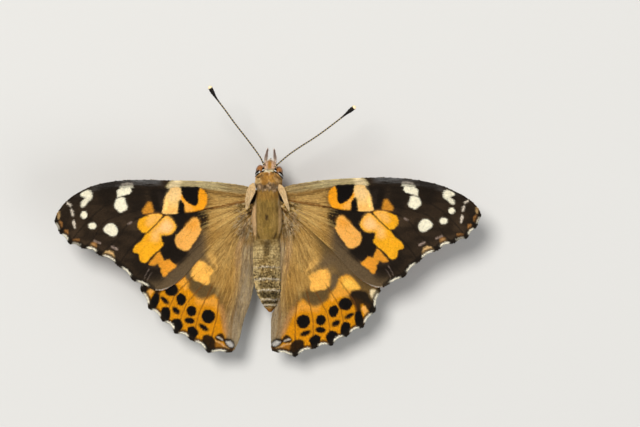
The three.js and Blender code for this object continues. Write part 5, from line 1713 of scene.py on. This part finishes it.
# Legs: where each leaves the thorax, its knee, its ankle and the end of its foot
LEGS = {
    "midleg": [(1.75, 2.7, 4.25), (5.3, 4.5, 5.1), (7.9, 5.5, 0.85), (11.4, 6.5, 0.16)],
    "hindleg": [(1.75, -0.1, 4.25), (4.9, -2.6, 4.9), (7.2, -5.5, 0.85), (9.5, -8.5, 0.16)],
}
FORELEG = [(0.95, 6.2, 4.45), (1.2, 7.2, 3.95), (1.3, 8.3, 3.9), (1.2, 9.3, 4.3)]
TARSOMERES = 5
# Shares of a foot joint's length, and how wide it is there
TARSOMERE_SHAPE = ([0, 0.15, 0.6, 0.92, 1], [0.7, 0.85, 0.95, 1.1, 0.8])
HIP_SUNK = 0.4
HEEL_Z = 0.22
CLAW_Z = 0.14
# The tibia's spines, of which the last are its long spurs
SPINE_LENGTHS = [0.34] * 19 + [0.62] * 3


def leg(name, side):
    """One walking leg: femur, tibia with its spines, a foot of five joints, and two claws."""
    rng = np.random.default_rng(SEEDS["leg"])
    coxa, knee, ankle, toe = (np.array([SIDES[side] * x, y, z]) for x, y, z in LEGS[name])
    parts, claws = [], []

    def add(path, radii, low, high, noise=0.12, sides=12, group=parts):
        points, faces, share = tube(np.array(path), np.array(radii), sides)
        shades = mix(plain(low, share), high, share) * rng.normal(1, noise, (len(share), 1))
        group.append((points, faces, shades))

    hip = coxa + unit(coxa - knee) * HIP_SUNK
    steps = np.linspace(0, 1, 24)
    swell = np.sin(math.pi * steps)
    shaft = steps[:, None]
    add(hip * (1 - shaft) + knee * shaft, (0.22 + 0.07 * swell) * (1 - 0.2 * smoothstep(0.7, 1, steps)),
        LEG_BROWN, LEG_PALE)
    add(knee * (1 - shaft) + ankle * shaft, 0.15 + 0.03 * swell, LEG_PALE, LEG_BROWN)
    heel = ankle * [1, 1, 0] + [0, 0, HEEL_Z]
    add(np.linspace(ankle, heel, 6), 0.14, LEG_BROWN, LEG_BROWN)
    share = np.linspace(0, 1, 8)
    for joint in range(TARSOMERES):
        start, end = (heel + (toe - heel) * (joint + step) / TARSOMERES for step in (0, 1.06))
        radius = 0.13 - 0.01 * joint
        path = start + (end - start) * share[:, None]
        path[:, 2] = radius * 1.1
        add(path, radius * np.interp(share, *TARSOMERE_SHAPE), LEG_PALE, LEG_DARK)
    way = unit(toe - heel)
    aside = np.cross(way, [0, 0, 1])
    for lean in (-1, 1):
        claw = [toe * [1, 1, 0] + [0, 0, CLAW_Z] + way * 0.22 * t + aside * lean * 0.11 * math.sin(2.2 * t)
                - np.array([0, 0, 0.1 * t * t]) for t in np.linspace(0, 1, 7)]
        add(claw, np.linspace(0.045, 0.012, 7), LEG_DARK, EYE_DARK, 0, 8, claws)
    shin = unit(ankle - knee)
    for index, reach in enumerate(SPINE_LENGTHS):
        around = unit(np.cross(shin, rng.normal(0, 1, 3)))
        root = knee + (ankle - knee) * (0.12 + 0.86 * index / (len(SPINE_LENGTHS) - 1)) + around * 0.13
        tip = root + unit(shin + around * 0.55) * reach
        add(np.linspace(root, tip, 4), [0.03, 0.026, 0.018, 0.006], LEG_DARK, LEG_DARK, 0, 6)
    nodes = [f"{name}_{part}_{side}" for part in ("femur", "tibia", "tarsus")]
    finish_piece(build(f"{name}_{side}", *join(parts)), "leg_scales", LEG_SURFACE, *nodes)
    finish_piece(build(f"{name}_{side}_claws", *join(claws)), "leg_scales", CHITIN)
    thigh = np.array([hip + (knee - hip) * t for t in np.linspace(0, 1, 12)])
    calf = np.array([knee + (ankle - knee) * t for t in np.linspace(0, 0.95, 12)])
    shade = blend(LEG_PALE, LEG_BROWN, rng)
    coat(f"{name}_{side}_coat", "leg_scales",
         line_tufts(thigh, 0.24, 150, rng, 0.34, 0.05, 0.2, shade),
         line_tufts(calf, 0.15, 90, rng, 0.24, 0.04, 0.12, shade))


def foreleg(side):
    """A front leg, small and folded forwards under the head, with its brush of long hair."""
    rng = np.random.default_rng(SEEDS["foreleg"])
    path = smooth_line([(SIDES[side] * x, y, z) for x, y, z in FORELEG], count=30)
    radii = np.interp(np.linspace(0, 1, 30), [0, 0.2, 0.7, 1], [0.17, 0.2, 0.17, 0.07])
    core(f"foreleg_{side}", "core", "leg_scales", LEG_SURFACE, path, radii, 12,
         lambda share: plain(LEG_BROWN, share))
    coat(f"foreleg_{side}_coat", "leg_scales",
         line_tufts(path, radii, 260, rng, 0.5, 0.05, 0.22, blend(LEG_PALE, FUR_GOLD, rng)))


# Wings
for wing_name, wing_chart in CHARTS.items():
    painted_faces = {face: PAINT[wing_name, face](wing_chart.points) for face in SCALE_STEP}
    layouts = {face: scale_layout(wing_name, face, SEEDS["scales"] + index)
               for index, face in enumerate(SCALE_STEP)}
    for side_index, wing_side in enumerate(SIDES):
        membrane(wing_name, wing_side, painted_faces)
        for face_name, scales in layouts.items():
            wing_scales(wing_name, wing_side, face_name, scales)
        coat(f"{wing_name}wing_{wing_side}_hair", f"{wing_name}wing_membrane",
             wing_hairs(wing_name, wing_side, SEEDS["wing hair"] + side_index),
             wing_fringe(wing_name, wing_side, SEEDS["fringe"] + side_index))

# Body
body_skin()
body_coats()
proboscis()
for body_side in SIDES:
    for make in (eye, antenna, palp, tegula, foreleg):
        make(body_side)
    for leg_name in LEGS:
        leg(leg_name, body_side)


# Floor, light and camera
def in_frame(x, y, z):
    """A point in the butterfly's millimetres as metres in the frame."""
    return Vector((np.array([x, y, z]) + SHIFT) * 0.001)


FLOOR_HALF = 1.5
FLOOR_COLOUR = (0.5, 0.495, 0.48, 1)
# Each light's place, size, power and colour
LIGHTS = {"key": ((-0.22, 0.28, 0.9), 0.35, 10.5, (1, 0.98, 0.95)),
          "fill": ((0.6, -0.4, 0.6), 0.7, 3, (0.95, 0.98, 1))}
SKY_COLOUR = (0.98, 0.99, 1, 1)
SKY_STRENGTH = 0.45
CAMERA_AIM = (7.87, 2.415, 8)
CAMERA_DISTANCE = 366
CAMERA_FIELD = 96.9
CAMERA_TURN = math.radians(0.8)
SENSOR = 36


def floor():
    mesh = bpy.data.meshes.new("floor")
    corners = [(-FLOOR_HALF, -FLOOR_HALF), (FLOOR_HALF, -FLOOR_HALF),
               (FLOOR_HALF, FLOOR_HALF), (-FLOOR_HALF, FLOOR_HALF)]
    mesh.from_pydata([(x, y, cad_bounds[0][2]) for x, y in corners], [], [(0, 1, 2, 3)])
    ground = bpy.data.objects.new("floor", mesh)
    bpy.context.scene.collection.objects.link(ground)
    material = bpy.data.materials.new("floor")
    material.use_nodes = True
    shader = material.node_tree.nodes["Principled BSDF"]
    shader.inputs["Base Color"].default_value = FLOOR_COLOUR
    shader.inputs["Roughness"].default_value = 0.9
    shader.inputs["Specular IOR Level"].default_value = 0.1
    mesh.materials.append(material)


def soft_light(name, place, size, power, colour):
    light = bpy.data.lights.new(name, "AREA")
    light.shape = "DISK"
    light.size = size
    light.energy = power
    light.color = colour
    lamp = bpy.data.objects.new(name, light)
    lamp.location = place
    lamp.rotation_euler = (-Vector(place)).to_track_quat("-Z", "Y").to_euler()
    bpy.context.scene.collection.objects.link(lamp)


def sky():
    world = bpy.data.worlds.new("studio")
    world.use_nodes = True
    background = world.node_tree.nodes["Background"]
    background.inputs["Color"].default_value = SKY_COLOUR
    background.inputs["Strength"].default_value = SKY_STRENGTH
    bpy.context.scene.world = world
    bpy.context.scene.view_settings.view_transform = "Standard"


def camera():
    data = bpy.data.cameras.new("camera")
    data.sensor_width = SENSOR
    data.lens = SENSOR * CAMERA_DISTANCE / CAMERA_FIELD
    data.clip_start = 0.01
    data.clip_end = 10
    view = bpy.data.objects.new("camera", data)
    x, y, z = CAMERA_AIM
    view.location = in_frame(x, y, z + CAMERA_DISTANCE)
    view.rotation_euler = (0, 0, -CAMERA_TURN)
    bpy.context.scene.collection.objects.link(view)
    bpy.context.scene.camera = view


floor()
for light_name, settings in LIGHTS.items():
    soft_light(light_name, *settings)
sky()
camera()
